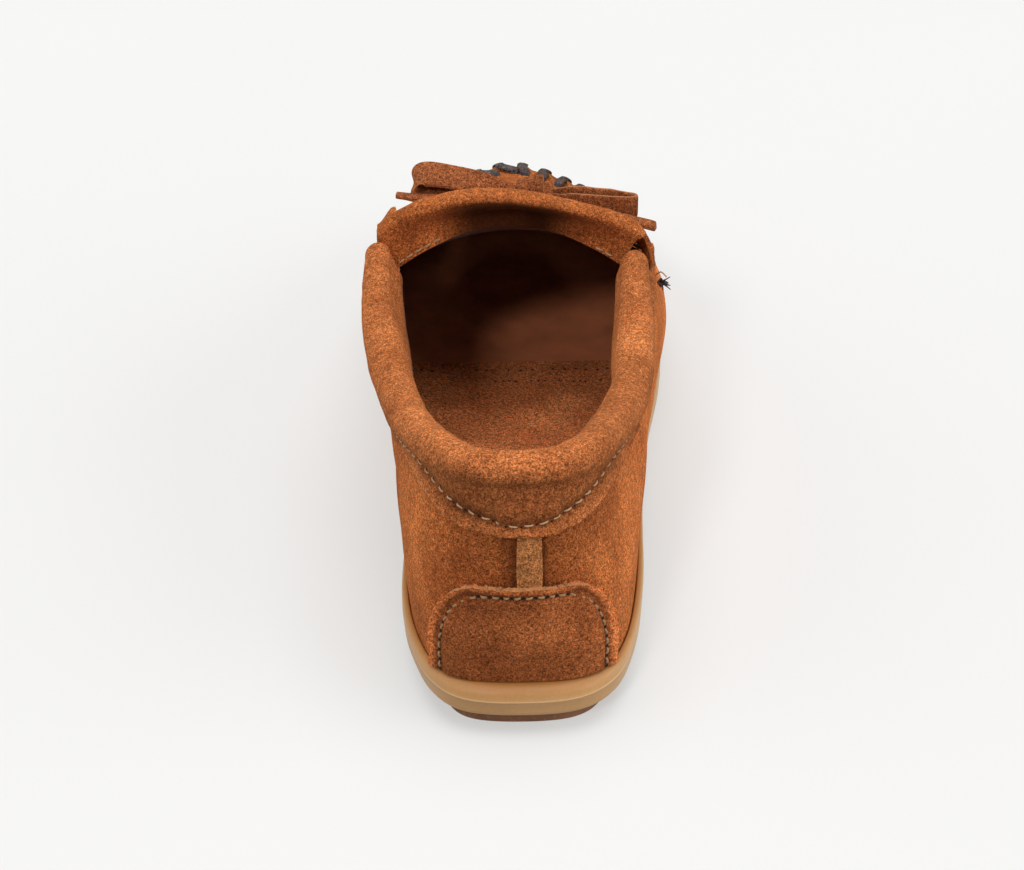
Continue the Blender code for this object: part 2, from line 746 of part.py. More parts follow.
def make_bow(lace):
    """Knot, a loop lying back on one side, a loop on edge on the other, and two tails."""
    bpy.ops.mesh.primitive_cube_add(size=MM, location=Vector(KNOT) * MM)
    knot = bpy.context.object
    knot.name = "bow_knot"
    knot.scale = KNOT_SIZE
    bpy.ops.object.transform_apply(location=False, rotation=False, scale=True)
    for owner in list(knot.users_collection):
        owner.objects.unlink(knot)
    COLLECTIONS["parts"].objects.link(knot)
    knot.data.materials.append(lace)
    bevel(knot, 2.0, 3)
    for name, start, (far, rise, width, swing, across) in (
            ("bow_loop_left", LEFT_LOOP_X, LEFT_LOOP), ("bow_loop_right", RIGHT_LOOP_X, RIGHT_LOOP)):
        ribbon(name, loop_line(start, far, rise, swing), across, width, BOW_THICKNESS, lace)
    for name, line in (("lace_tail_left", LEFT_TAIL), ("lace_tail_right", RIGHT_TAIL)):
        ribbon(name, line, TAIL_ACROSS, TAIL_WIDTH, BOW_THICKNESS, lace)


def hang_on(name, place, children):
    """Parent objects to an empty on a hinge's axis, each kept where it is."""
    pivot = bpy.data.objects.new(name, None)
    pivot.location = Vector(place) * MM
    COLLECTIONS["parts"].objects.link(pivot)
    for child in children:
        bpy.data.objects[child].parent = pivot
        bpy.data.objects[child].matrix_parent_inverse = Matrix.Translation(pivot.location).inverted()


def main():
    suede = material("suede", (0.36, 0.135, 0.047), 0.95)
    dark_suede = material("lace_suede", (0.27, 0.10, 0.04), 0.95)
    rubber = material("gum_rubber", (0.48, 0.28, 0.13), 0.45)
    lift_rubber = material("lift_rubber", (0.09, 0.05, 0.03), 0.7)
    board = material("fibre_board", (0.45, 0.36, 0.25), 0.9)
    foam = material("foam", (0.20, 0.12, 0.08), 0.95)
    thread = material("thread", (0.62, 0.50, 0.36), 0.7)
    whip = material("whip_lace", (0.06, 0.055, 0.06), 0.8)
    make_outsole(rubber)
    make_heel_lift(lift_rubber)
    make_insole(board, foam, suede)
    make_wrap(suede)
    make_counter(board)
    make_heel_strip(suede)
    make_heel_patch(suede)
    make_patch_stitching(thread)
    make_collar(suede, foam, thread)
    make_plug(suede)
    make_whip_lace(whip)
    make_tongue(suede, thread)
    make_flap(suede)
    make_bow(dark_suede)
    hang_on("kiltie_hinge", (0.0, HINGE_Y, HINGE_Z),
            ("kiltie_flap", "bow_knot", "lace_tail_left", "lace_tail_right"))
    hang_on("bow_left_hinge", (LEFT_LOOP_X, KNOT[1], KNOT[2]), ("bow_loop_left",))
    hang_on("bow_right_hinge", (RIGHT_LOOP_X, KNOT[1], KNOT[2]), ("bow_loop_right",))


for leftover in list(bpy.data.objects):
    bpy.data.objects.remove(leftover, do_unlink=True)
COLLECTIONS = {}
for key, title in (("parts", "moccasin"), ("cutters", "cutters")):
    COLLECTIONS[key] = bpy.data.collections.new(title)
    bpy.context.scene.collection.children.link(COLLECTIONS[key])
main()
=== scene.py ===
"""Visual model of the moccasin: detailed suede, rubber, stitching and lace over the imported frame.

Points are worked out in millimetres and turned into metres when a mesh is made. The frame is the CAD
model's: +Y to the toe, +X to the outer side, +Z up, origin under the heel.
"""
import math

import bmesh
import bpy
import numpy as np
from mathutils import Matrix, Vector


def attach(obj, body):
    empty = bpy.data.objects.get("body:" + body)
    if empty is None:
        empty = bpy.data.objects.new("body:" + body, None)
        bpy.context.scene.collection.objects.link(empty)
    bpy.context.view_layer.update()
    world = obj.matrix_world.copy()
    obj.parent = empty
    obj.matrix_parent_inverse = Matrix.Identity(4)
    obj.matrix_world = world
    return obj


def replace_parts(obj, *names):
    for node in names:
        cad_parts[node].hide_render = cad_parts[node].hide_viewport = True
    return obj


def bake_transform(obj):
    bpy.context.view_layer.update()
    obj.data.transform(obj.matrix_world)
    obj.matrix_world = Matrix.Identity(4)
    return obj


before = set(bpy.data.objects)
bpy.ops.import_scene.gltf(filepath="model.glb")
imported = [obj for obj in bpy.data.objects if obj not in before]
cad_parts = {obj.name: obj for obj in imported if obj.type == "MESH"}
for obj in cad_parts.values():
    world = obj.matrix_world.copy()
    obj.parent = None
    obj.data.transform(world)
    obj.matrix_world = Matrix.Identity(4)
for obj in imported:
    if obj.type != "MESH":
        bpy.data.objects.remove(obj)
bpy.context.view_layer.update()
MM = 0.001
RANDOM = np.random.default_rng(7)

# ---- shape of the shoe, as in the CAD model ----

GAP, SUEDE = 0.3, 1.4
LIFT_HEIGHT, HEEL_RISE = 5.2, 5.5
RIM_TOP = 8.0
TOE_RIB, RIBS = 15, 30
FEATHER_LINE = (
    (-29.8, 0.0, 0.0), (-28.9, 12.0, -12.2), (-24.8, 19.8, -19.4), (-15.5, 24.2, -23.8),
    (-3.0, 26.9, -26.6), (14.0, 28.9, -27.7), (35.0, 30.2, -26.8), (60.0, 32.0, -26.6),
    (85.0, 35.2, -29.2), (110.0, 39.2, -33.8), (135.0, 41.0, -38.0), (160.0, 38.8, -38.9),
    (182.0, 33.0, -35.6), (202.0, 23.0, -27.2), (214.5, 10.0, -14.2), (217.6, -2.0, -2.0))
TOP_EDGE = (
    (-0.5, -25.6, 58.0, -0.5, -25.6, 58.0), (10.2, -22.8, 58.0, -11.8, -22.6, 58.0),
    (17.2, -14.5, 57.2, -19.0, -13.5, 57.4), (21.2, -4.5, 55.6, -23.4, -4.0, 56.0),
    (24.2, 6.0, 54.0, -26.6, 6.0, 54.4), (27.2, 18.0, 52.2, -29.2, 18.0, 52.8),
    (30.2, 35.0, 51.0, -31.8, 35.0, 51.6), (33.0, 58.0, 51.8, -35.3, 58.0, 52.8),
    (35.6, 81.0, 54.6, -38.2, 81.0, 56.0), (37.8, 107.0, 45.5, -38.0, 107.0, 46.5),
    (37.0, 130.0, 39.8, -37.0, 131.0, 40.8), (33.5, 154.0, 35.8, -34.3, 153.0, 36.8),
    (26.5, 174.0, 33.2, -27.8, 173.0, 34.0), (17.0, 187.5, 32.4, -18.5, 186.5, 32.8),
    (7.5, 194.5, 33.2, -9.5, 194.0, 33.2), (-1.0, 196.5, 34.0, -1.0, 196.5, 34.0))
BULGE_AND_RIM = (
    (1.9, 1.9, 5.0), (1.8, 1.8, 4.4), (1.6, 1.6, 2.4), (1.6, 1.6, 1.8), (1.8, 1.4, 1.8), (1.3, 0.9, 1.6),
    (2.0, 1.2, 1.4), (2.6, 2.0, 1.4), (3.6, 3.4, 1.7), (4.2, 4.2, 2.2), (4.6, 4.6, 2.6), (4.8, 4.8, 2.8),
    (5.0, 5.0, 3.0), (5.4, 5.4, 3.2), (5.8, 5.8, 3.3), (6.0, 6.0, 3.4))
COLLAR_LINE = (
    (-1.0, -21.6, 65.0, -1.0, -21.6, 65.0), (8.6, -18.9, 64.2, -10.6, -18.7, 64.3),
    (16.0, -9.6, 62.0, -17.8, -9.2, 62.2), (20.4, 2.0, 59.4, -22.4, 1.5, 59.8),
    (24.2, 14.5, 57.0, -26.4, 14.0, 57.5), (27.4, 28.0, 55.6, -29.4, 28.0, 56.0),
    (29.2, 43.0, 55.2, -32.4, 43.0, 55.7), (30.3, 57.0, 56.3, -34.8, 57.0, 57.0),
    (31.0, 71.0, 58.8, -36.0, 71.0, 59.6), (31.4, 83.0, 61.2, -36.1, 83.0, 62.6))
COLLAR_ENDS = 9
ROLL_RADIUS, ROLL_END_RADIUS = 5.0, 3.4
COLLAR_DROP, COLLAR_SIDE_DROP = 12.5, 5.6
THROAT_RIB, PLUG_CROWN, TONGUE_Y, TOE_SEAM_Y = 8.3, 15.5, 86.6, 196.5
TONGUE_FOOT_X, TONGUE_FLARE = (-33.2, 29.0), (-3.2, 5.6)
FOLD_X = (-36.8, -34.2, -25.8, -16.8, -10.2, -1.1, 6.8, 15.9, 25.2, 32.4, 37.3)
FOLD_Z = (67.6, 71.5, 76.3, 78.7, 79.5, 79.4, 78.0, 75.8, 72.7, 69.1, 62.5)
FLAP_START_Y, FLAP_LENGTH, FLAP_FALL = 88.2, 38.0, 9.0
FLAP_X, FLAP_SPREAD, STRIPS = (-36.6, 34.8), 0.1, 11
STRIP_X, STRIP_HALF_WIDTH, STRIP_SUEDE = 1.7, 2.7, 1.0
PATCH_BOTTOM_Z, PATCH_TOP_Z, PATCH_HALF_WIDTH = 14.0, 39.4, 20.2
PATCH_CORNER, PATCH_CORNER_RISE = 11.0, 19.0
STRIP_SEAT_Z = 27.0
PATCH_OVER_STRIP = 0.6
PATCH_INSET = 2.1


def smooth(low, high, value):
    ratio = np.clip((np.asarray(value, float) - low) / (high - low), 0.0, 1.0)
    return ratio * ratio * (3.0 - 2.0 * ratio)


def unit(vectors):
    return vectors / np.maximum(np.linalg.norm(vectors, axis=-1, keepdims=True), 1e-9)


def spline(points, place, closed):
    """Catmull-Rom curve through the points, at fractional indices."""
    last = len(points) if closed else len(points) - 1
    place = np.asarray(place, float)
    place = place % last if closed else np.clip(place, 0.0, last - 1e-9)
    index = np.floor(place).astype(int)
    ratio = (place - index)[..., None]

    def pick(offset):
        at = index + offset
        return points[at % last] if closed else points[np.clip(at, 0, last)]

    a, b, c, d = (pick(offset) for offset in (-1, 0, 1, 2))
    return 0.5 * (2 * b + (c - a) * ratio + (2 * a - 5 * b + 4 * c - d) * ratio ** 2
                  + (3 * b - a - 3 * c + d) * ratio ** 3)


def ring(outer, inner):
    return np.concatenate([outer, inner[-2:0:-1]])


LINE = np.array(FEATHER_LINE)
FEATHER = ring(LINE[:, [1, 0]], LINE[:, [2, 0]])
TOP = np.array(TOP_EDGE)
TOP = ring(TOP[:, :3], TOP[:, 3:])
FORM = np.array(BULGE_AND_RIM)
FORM = ring(FORM[:, [0, 2]], FORM[:, [1, 2]])
COLLAR = np.array(COLLAR_LINE)
COLLAR = np.concatenate([COLLAR[:0:-1, 3:], COLLAR[:, :3]])


def underside(y):
    y = np.asarray(y, float)
    toe = 6.0 * np.maximum((y - 165.0) / 56.0, 0.0) ** 2
    return HEEL_RISE * (1.0 - smooth(42.0, 92.0, y)) + toe


def feather(rib, out=0.0):
    rib = np.asarray(rib, float)
    along = spline(FEATHER, rib + 0.02, True) - spline(FEATHER, rib - 0.02, True)
    normal = unit(np.stack([along[..., 1], -along[..., 0]], -1))
    return spline(FEATHER, rib, True) + normal * np.asarray(out, float)[..., None], normal


def rim_width(rib):
    return spline(FORM, rib, True)[..., 1]


def wall_point(rib, height):
    """Point on the wrap's outer face: height 0 at the feather line, 1 at the top edge."""
    rib, height = np.broadcast_arrays(np.asarray(rib, float), np.asarray(height, float))
    plan, normal = feather(rib)
    base = np.concatenate([plan, (underside(plan[..., 1]) + RIM_TOP)[..., None]], -1)
    top = spline(TOP, rib, True)
    push = 2.0 * spline(FORM, rib, True)[..., :1] * normal
    control = (base + top) / 2 + np.concatenate([push, np.zeros_like(push[..., :1])], -1)
    h = height[..., None]
    return base * (1 - h) ** 2 + control * 2 * h * (1 - h) + top * h ** 2


def wall_normal(rib, height):
    rib, height = np.asarray(rib, float), np.asarray(height, float)
    around = wall_point(rib + 0.01, height) - wall_point(rib - 0.01, height)
    upward = wall_point(rib, height + 0.01) - wall_point(rib, height - 0.01)
    return unit(np.cross(around, upward))


def wall(rib, height, out=0.0):
    return wall_point(rib, height) + wall_normal(rib, height) * np.asarray(out, float)[..., None]


def height_for(rib, z):
    low, high = wall_point(rib, 0.0)[..., 2], wall_point(rib, 1.0)[..., 2]
    return (z - low) / (high - low)


def bisect(low, high, is_low):
    """Rib places found by halving; is_low tells which middles still lie before the wanted place."""
    for _ in range(22):
        middle = (low + high) / 2
        under = is_low(middle)
        low, high = np.where(under, middle, low), np.where(under, high, middle)
    return low


def heel_place(x, z, out):
    """Point on the back of the heel with the given x and z, moved outward."""
    x, z, out = np.broadcast_arrays(np.asarray(x, float), np.asarray(z, float), np.asarray(out, float))
    rib = bisect(np.full(x.shape, -4.0), np.full(x.shape, 4.0),
                 lambda middle: wall_point(middle, height_for(middle, z))[..., 0] < x)
    return wall(rib, height_for(rib, z), out)


def plug_crown(y):
    return PLUG_CROWN * np.maximum((TOE_SEAM_Y - y) / (TOE_SEAM_Y - TONGUE_Y - 2.0), 0.0) ** 0.9


def plug_height(x, y):
    """Top of the plug over a plan point."""
    x, y = np.broadcast_arrays(np.asarray(x, float), np.asarray(y, float))
    rib = bisect(np.full(x.shape, THROAT_RIB - 1.0), np.full(x.shape, TOE_RIB - 0.3),
                 lambda middle: spline(TOP, middle, True)[..., 1] < y)
    outer, inner = spline(TOP, rib, True), spline(TOP, RIBS - rib, True)
    across = 2.0 * (x - inner[..., 0]) / (outer[..., 0] - inner[..., 0]) - 1.0
    edge = inner[..., 2] + (outer[..., 2] - inner[..., 2]) * (across + 1.0) / 2
    return edge + plug_crown(y) * (1.0 - across * across)


def fold_height(x):
    return np.interp(x, FOLD_X, FOLD_Z)


# ---- noise ----

def lattice(points, size, seed):
    """Smooth value noise from -1 to 1 at points, one lattice cell per size millimetres."""
    generator = np.random.default_rng(seed)
    table = generator.uniform(-1, 1, 4096)
    cell = np.floor(points / size).astype(int)
    ratio = points / size - cell
    ratio = ratio * ratio * (3 - 2 * ratio)
    total = np.zeros(points.shape[:-1])
    for corner in range(8):
        offset = np.array([corner & 1, corner >> 1 & 1, corner >> 2 & 1])
        at = cell + offset
        index = (at[..., 0] * 73856093 ^ at[..., 1] * 19349663 ^ at[..., 2] * 83492791) % 4096
        weight = np.prod(np.where(offset == 1, ratio, 1 - ratio), axis=-1)
        total += table[index] * weight
    return total


# ---- materials ----

def srgb(r, g, b):
    return tuple((v / 255 / 12.92) if v < 10.3 else ((v / 255 + 0.055) / 1.055) ** 2.4 for v in (r, g, b))


def scaled(colour, factor):
    return tuple(v * factor for v in colour)


class Tree:
    """Short hand for building one material's nodes."""

    def __init__(self, name):
        self.material = bpy.data.materials.new(name)
        self.material.use_nodes = True
        self.nodes, self.links = self.material.node_tree.nodes, self.material.node_tree.links
        self.shader = self.nodes["Principled BSDF"]
        self.coordinates = self.nodes.new("ShaderNodeTexCoord").outputs["Object"]

    def put(self, socket, value):
        if isinstance(value, bpy.types.NodeSocket):
            self.links.new(value, socket)
        else:
            socket.default_value = value

    def node(self, kind, **inputs):
        """New node with its inputs set; an underscore in an input's name stands for a space."""
        node = self.nodes.new("ShaderNode" + kind)
        for key, value in inputs.items():
            self.put(node.inputs[key.replace("_", " ")], value)
        return node

    def noise(self, scale, detail=2.0, roughness=0.5, stretch=None):
        vector = self.coordinates
        if stretch:
            vector = self.node("Mapping", Scale=stretch, Vector=vector).outputs["Vector"]
        node = self.node("TexNoise", Vector=vector, Scale=scale, Detail=detail, Roughness=roughness)
        return node.outputs["Fac"]

    def wave(self, direction, scale, distortion):
        node = self.node("TexWave", Vector=self.coordinates, Scale=scale, Distortion=distortion)
        node.bands_direction = direction
        return node.outputs["Fac"]

    def attribute(self, name):
        node = self.nodes.new("ShaderNodeAttribute")
        node.attribute_name = name
        return node.outputs["Fac"]

    def ramp(self, value, low, high, start=0.0, end=1.0):
        node = self.node("MapRange", Value=value, From_Min=low, From_Max=high, To_Min=start, To_Max=end)
        return node.outputs["Result"]

    def math(self, operation, a, b=0.0):
        node = self.nodes.new("ShaderNodeMath")
        node.operation = operation
        self.put(node.inputs[0], a)
        self.put(node.inputs[1], b)
        return node.outputs[0]

    def mix(self, factor, a, b, blend="MIX"):
        node = self.nodes.new("ShaderNodeMix")
        node.data_type = "RGBA"
        node.blend_type = blend
        self.put(node.inputs["Factor"], factor)
        self.put(node.inputs["A"], a if isinstance(a, bpy.types.NodeSocket) else (*a, 1.0))
        self.put(node.inputs["B"], b if isinstance(b, bpy.types.NodeSocket) else (*b, 1.0))
        return node.outputs["Result"]

    def bump(self, height, strength, distance, normal=None):
        node = self.node("Bump", Height=height, Strength=strength, Distance=distance * MM)
        if normal is not None:
            self.links.new(normal, node.inputs["Normal"])
        return node.outputs["Normal"]

    def finish(self, colour, roughness, normal=None, sheen=0.0, specular=0.3, **more):
        inputs = self.shader.inputs
        self.put(inputs["Base Color"], colour)
        self.put(inputs["Roughness"], roughness)
        inputs["Sheen Weight"].default_value = sheen
        inputs["Sheen Roughness"].default_value = 0.45
        inputs["Specular IOR Level"].default_value = specular
        for key, value in more.items():
            inputs[key.replace("_", " ")].default_value = value
        if normal is not None:
            self.links.new(normal, inputs["Normal"])
        return self.material


def suede(name, dark, light, sheen=0.22, nap=1.0, grain=1.0):
    """Napped leather: brushed dark and light blotches, short fibres, a velvet sheen, and painted "tone" that
    carries painted shade and painted highlight as well as uneven colour.
    """
    tree = Tree(name)
    broad = tree.ramp(tree.noise(30, 3.0, 0.6), 0.36, 0.64)
    blotch = tree.ramp(tree.noise(110, 4.0, 0.62), 0.32, 0.68)
    mottle = tree.ramp(tree.noise(700, 3.0, 0.65), 0.3, 0.7)
    fibre = tree.noise(2700, 2.0, 0.7)
    clump = tree.noise(1150, 3.0, 0.7)
    patch = tree.math("ADD", tree.math("MULTIPLY", broad, 0.42), tree.math("MULTIPLY", blotch, 0.33))
    patch = tree.math("ADD", patch, tree.math("MULTIPLY", mottle, 0.25))
    shade = tree.mix(patch, dark, light)
    for source, darker, lighter in ((fibre, 0.70, 0.58), (clump, 0.44, 0.42)):
        contrast = tree.ramp(source, 0.34, 0.66, 1.0 - darker * grain, 1.0 + lighter * grain)
        shade = tree.mix(1.0, shade, contrast, "MULTIPLY")
    tone = tree.attribute("tone")
    # Tone below zero darkens towards a deep brown and above zero brightens up to 1.9 times: painted shade and
    # painted highlight, besides uneven colour and paler raw edges.
    shade = tree.mix(tree.ramp(tone, 0.0, -1.0), shade, scaled(dark, 0.16))
    shade = tree.mix(1.0, shade, tree.ramp(tone, 0.0, 1.0, 1.0, 1.9), "MULTIPLY")
    normal = tree.bump(fibre, 0.9 * nap, 0.3)
    normal = tree.bump(tree.noise(900, 3.0, 0.65), 0.55 * nap, 0.5, normal)
    return tree.finish(shade, tree.ramp(mottle, 0.0, 1.0, 0.82, 0.98), normal, sheen, 0.08,
                       Sheen_Tint=(*srgb(255, 172, 108), 1.0))


def raw_edge(name, colour):
    """Cut edge of suede: paler, compressed fibres in thin layers."""
    tree = Tree(name)
    fibre = tree.noise(3000, 3.0, 0.7)
    layers = tree.noise(1300, 3.0, 0.7)
    shade = tree.mix(tree.ramp(layers, 0.34, 0.62), scaled(colour, 0.6), colour)
    shade = tree.mix(tree.ramp(fibre, 0.4, 0.6), tree.mix(0.36, shade, (0.06, 0.02, 0.008)), shade)
    return tree.finish(shade, 0.95, tree.bump(fibre, 1.0, 0.3), 0.15, 0.08)


def gum(name):
    """Honey gum rubber: waxy, slightly see-through, with dust in its fine mould texture."""
    tree = Tree(name)
    cloud = tree.ramp(tree.noise(45, 3.0, 0.55), 0.3, 0.7)
    fine = tree.noise(1300, 3.0, 0.6)
    shade = tree.mix(cloud, srgb(204, 154, 98), srgb(218, 170, 114))
    shade = tree.mix(tree.ramp(fine, 0.35, 0.65), tree.mix(0.10, shade, srgb(120, 80, 45)), shade)
    tone = tree.attribute("tone")
    # Tone below zero turns the gum deep amber: painted shade along the rim next to the upper. Tone above zero
    # makes it paler, along the parting line.
    shade = tree.mix(tree.ramp(tone, 0.0, -1.0), shade, srgb(150, 90, 30))
    shade = tree.mix(tree.ramp(tone, 0.0, 1.0), shade, srgb(246, 208, 160))
    tread = tree.attribute("tread")
    groove = tree.math("MULTIPLY", tree.ramp(tree.wave("Y", 78.0, 0.0), 0.25, 0.45), tread)
    shade = tree.mix(tree.math("MULTIPLY", tree.math("SUBTRACT", tread, groove), 0.55), shade,
                     srgb(120, 78, 42))
    normal = tree.bump(fine, 0.16, 0.2)
    normal = tree.bump(groove, 1.0, 1.2, normal)
    return tree.finish(shade, tree.ramp(fine, 0.3, 0.7, 0.34, 0.52), normal, 0.0, 0.35,
                       Subsurface_Weight=0.25, Subsurface_Scale=0.004,
                       Subsurface_Radius=(1.0, 0.5, 0.2))


def lift_rubber(name):
    tree = Tree(name)
    fine = tree.noise(900, 4.0, 0.65)
    cloud = tree.ramp(tree.noise(90, 3.0, 0.6), 0.3, 0.7)
    shade = tree.mix(cloud, srgb(118, 78, 52), srgb(148, 102, 72))
    shade = tree.mix(tree.ramp(fine, 0.55, 0.75), shade, srgb(168, 126, 96))
    return tree.finish(shade, tree.ramp(fine, 0.3, 0.7, 0.62, 0.85), tree.bump(fine, 0.4, 0.25), 0.0, 0.3)


def thread(name, colour):
    """Twisted polyester thread: fine slanted plies and a soft lustre."""
    tree = Tree(name)
    ply = tree.wave("DIAGONAL", 1300.0, 1.5)
    lint = tree.noise(1500, 3.0, 0.7)
    shade = tree.mix(ply, scaled(colour, 0.62), colour)
    shade = tree.mix(tree.ramp(lint, 0.5, 0.8), shade, scaled(colour, 0.7))
    return tree.finish(shade, 0.72, tree.bump(ply, 0.6, 0.15), 0.3, 0.25)


def lining(name, colour):
    """Smooth brown lining: close grain with a faint rubbed gloss."""
    tree = Tree(name)
    cloud = tree.ramp(tree.noise(60, 3.0, 0.6), 0.3, 0.7)
    grain = tree.noise(1500, 3.0, 0.6)
    shade = tree.mix(cloud, scaled(colour, 0.75), scaled(colour, 1.2))
    tone = tree.attribute("tone")
    # Tone below zero darkens the lining: painted shade inside the shoe.
    shade = tree.mix(tree.ramp(tone, 0.0, -1.0), shade, scaled(colour, 0.2))
    return tree.finish(shade, tree.ramp(grain, 0.3, 0.7, 0.6, 0.85), tree.bump(grain, 0.35, 0.2), 0.1, 0.25)


def fibre_board(name):
    tree = Tree(name)
    fleck = tree.noise(1200, 4.0, 0.7, (1.0, 0.25, 1.0))
    shade = tree.mix(tree.ramp(fleck, 0.35, 0.65), srgb(150, 118, 82), srgb(196, 164, 124))
    return tree.finish(shade, 0.9, tree.bump(fleck, 0.4, 0.2))


SUEDE_RUST = suede("suede_rust", srgb(130, 62, 28), srgb(218, 128, 68))
SUEDE_COLLAR = suede("suede_collar", srgb(134, 66, 30), srgb(224, 136, 78))
SUEDE_PATCH = suede("suede_patch", srgb(124, 62, 30), srgb(204, 118, 66))
SUEDE_STRIP = suede("suede_strip", srgb(146, 88, 48), srgb(218, 146, 88), 0.15, 1.6, 1.0)
SUEDE_LACE = suede("suede_lace", srgb(112, 58, 31), srgb(180, 106, 64), 0.2, 1.4, 1.05)
SUEDE_SOCK = suede("suede_sock", srgb(206, 104, 58), srgb(250, 154, 94), 0.25, 2.2, 1.2)
EDGE = raw_edge("raw_edge", srgb(216, 148, 90))
LACE_EDGE = raw_edge("lace_raw_edge", srgb(204, 132, 80))
GUM = gum("gum_rubber")
LIFT = lift_rubber("lift_rubber")
CREAM = thread("cream_thread", srgb(214, 172, 126))
BROWN = thread("brown_thread", srgb(190, 146, 98))
WHIP = suede("whip_lace_suede", srgb(58, 54, 56), srgb(112, 104, 102), 0.1, 1.4, 1.2)
# Near-black: painted shade inside the needle holes, which are only shallow dimples.
PIT_SHADE = lining("needle_hole", srgb(26, 12, 6))
LINING = lining("lining_brown", srgb(104, 68, 54))
DARK_LINING = lining("lining_footbed", srgb(196, 112, 70))
BOARD = fibre_board("fibre_board")


# ---- meshes ----

def join_close(mesh, distance):
    """Merge points that lie closer than this, in millimetres, so that no face is without area."""
    shape = bmesh.new()
    shape.from_mesh(mesh)
    bmesh.ops.remove_doubles(shape, verts=shape.verts, dist=distance * MM)
    shape.to_mesh(mesh)
    shape.free()


def add_object(name, data):
    made = bpy.data.objects.new(name, data)
    bpy.context.scene.collection.objects.link(made)
    return made


def build(name, points, faces, materials, body="shoe", tone=None, tread=None, weld=0.0):
    """Mesh piece from points in millimetres, riding on a body unless body is None."""
    mesh = bpy.data.meshes.new(name)
    mesh.from_pydata((np.asarray(points).reshape(-1, 3) * MM).tolist(), [], faces)
    for key, values in (("tone", tone), ("tread", tread)):
        layer = mesh.attributes.new(key, "FLOAT", "POINT")
        if values is not None:
            layer.data.foreach_set("value", np.asarray(values, np.float32).ravel())
    for finish in materials:
        mesh.materials.append(finish)
    if weld:
        join_close(mesh, weld)
    mesh.shade_smooth()
    made = add_object(name, mesh)
    if body:
        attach(made, body)
    return made


def grid_faces(rows, columns, close_rows=False, close_columns=False, start=0):
    faces = []
    for row in range(rows if close_rows else rows - 1):
        after_row = (row + 1) % rows
        for column in range(columns if close_columns else columns - 1):
            after = (column + 1) % columns
            faces.append((start + row * columns + column, start + after_row * columns + column,
                          start + after_row * columns + after, start + row * columns + after))
    return faces


def sheet_of(name, points, materials, thickness=SUEDE, round_edge=0.35, tone=None):
    """Sheet with real thickness behind its face, a paler cut edge and softly rounded corners."""
    made = build(name, points, grid_faces(*points.shape[:2]), materials, tone=tone)
    solid(made, thickness, round_edge, len(materials))
    return made


def solid(made, thickness, round_edge=0.35, materials=2):
    """Thickness behind the faces: the rim takes the second material and the back the third, if any."""
    modifier = made.modifiers.new("thickness", "SOLIDIFY")
    modifier.thickness = thickness * MM
    modifier.offset = -1.0
    if materials > 1:
        modifier.material_offset_rim = 1
    if materials > 2:
        modifier.material_offset = 2
    if round_edge:
        rounding = made.modifiers.new("rounding", "BEVEL")
        rounding.width = round_edge * MM
        rounding.segments = 2
        rounding.limit_method = "ANGLE"
        rounding.angle_limit = math.radians(50)


def path_frame(path, wide):
    """Directions across a path: one as near as possible to the wide direction, one square to both."""
    tangent = unit(np.gradient(np.asarray(path, float), axis=0))
    wide = np.broadcast_to(np.asarray(wide, float), tangent.shape)
    side = unit(wide - tangent * np.sum(wide * tangent, axis=-1, keepdims=True))
    return side, np.cross(side, tangent)


def cap_faces(sides, first, last):
    """Faces that close both ends of a tube, from the index of each end's first point."""
    return [tuple(range(first, first + sides)), tuple(range(last + sides - 1, last - 1, -1))]


def tube_mesh(paths, radii, wides, sides=8, flat=1.0):
    """Points and faces of closed tubes: one radius per path point, flattened across the wide direction."""
    points, faces = [], []
    for path, radius, wide in zip(paths, radii, wides):
        side, lift = path_frame(path, wide)
        angle = np.linspace(0, 2 * np.pi, sides, endpoint=False)
        circle = (side[:, None] * np.cos(angle)[None, :, None]
                  + lift[:, None] * np.sin(angle)[None, :, None] * flat)
        start = len(points)
        points.extend((path[:, None] + circle * np.asarray(radius)[:, None, None]).reshape(-1, 3))
        faces.extend(grid_faces(len(path), sides, close_columns=True, start=start))
        faces += cap_faces(sides, start, start + (len(path) - 1) * sides)
    return np.array(points), faces


def points_at(at, places, line):
    """Points on a line at some places, when the places of the line's own points are known."""
    return np.stack([np.interp(at, places, line[:, axis]) for axis in range(3)], -1)


def nearest_to(line, marks):
    """Index of the line's nearest point for each mark."""
    return [int(np.argmin(np.linalg.norm(line - mark, axis=1))) for mark in marks]


STITCH_SINK, STITCH_WOBBLE = 0.5, 0.06
PIT_DEPTH = 0.2


def stitch_row(name, line, outward, pitch, radius, finish, fill=0.74):
    """Separate stitches along a line, each arched and pulled down into the leather at both ends."""
    marks = at_lengths(line, max(int(length_along(line)[-1] / pitch), 2) + 1)
    nearest = nearest_to(line, marks)
    paths, radii, wides = [], [], []
    along = np.linspace(-1, 1, 9)
    arch = 1 - np.abs(along) ** 3
    for index in range(len(marks) - 1):
        a, b = marks[index], marks[index + 1]
        out = outward[nearest[index]]
        side = np.cross(unit(b - a), out)
        half = (b - a) / 2 * fill + side * RANDOM.uniform(-STITCH_WOBBLE, STITCH_WOBBLE) * pitch
        rise = arch * (radius + STITCH_SINK * 0.6) - STITCH_SINK * 0.6
        paths.append((a + b) / 2 + along[:, None] * half + out * rise[:, None])
        radii.append(radius * (0.55 + 0.45 * np.sqrt(np.maximum(1 - along ** 4, 0.0))))
        wides.append(side)
    points, faces = tube_mesh(paths, radii, wides, 8, 0.85)
    return build(name, points, faces, [finish]), marks


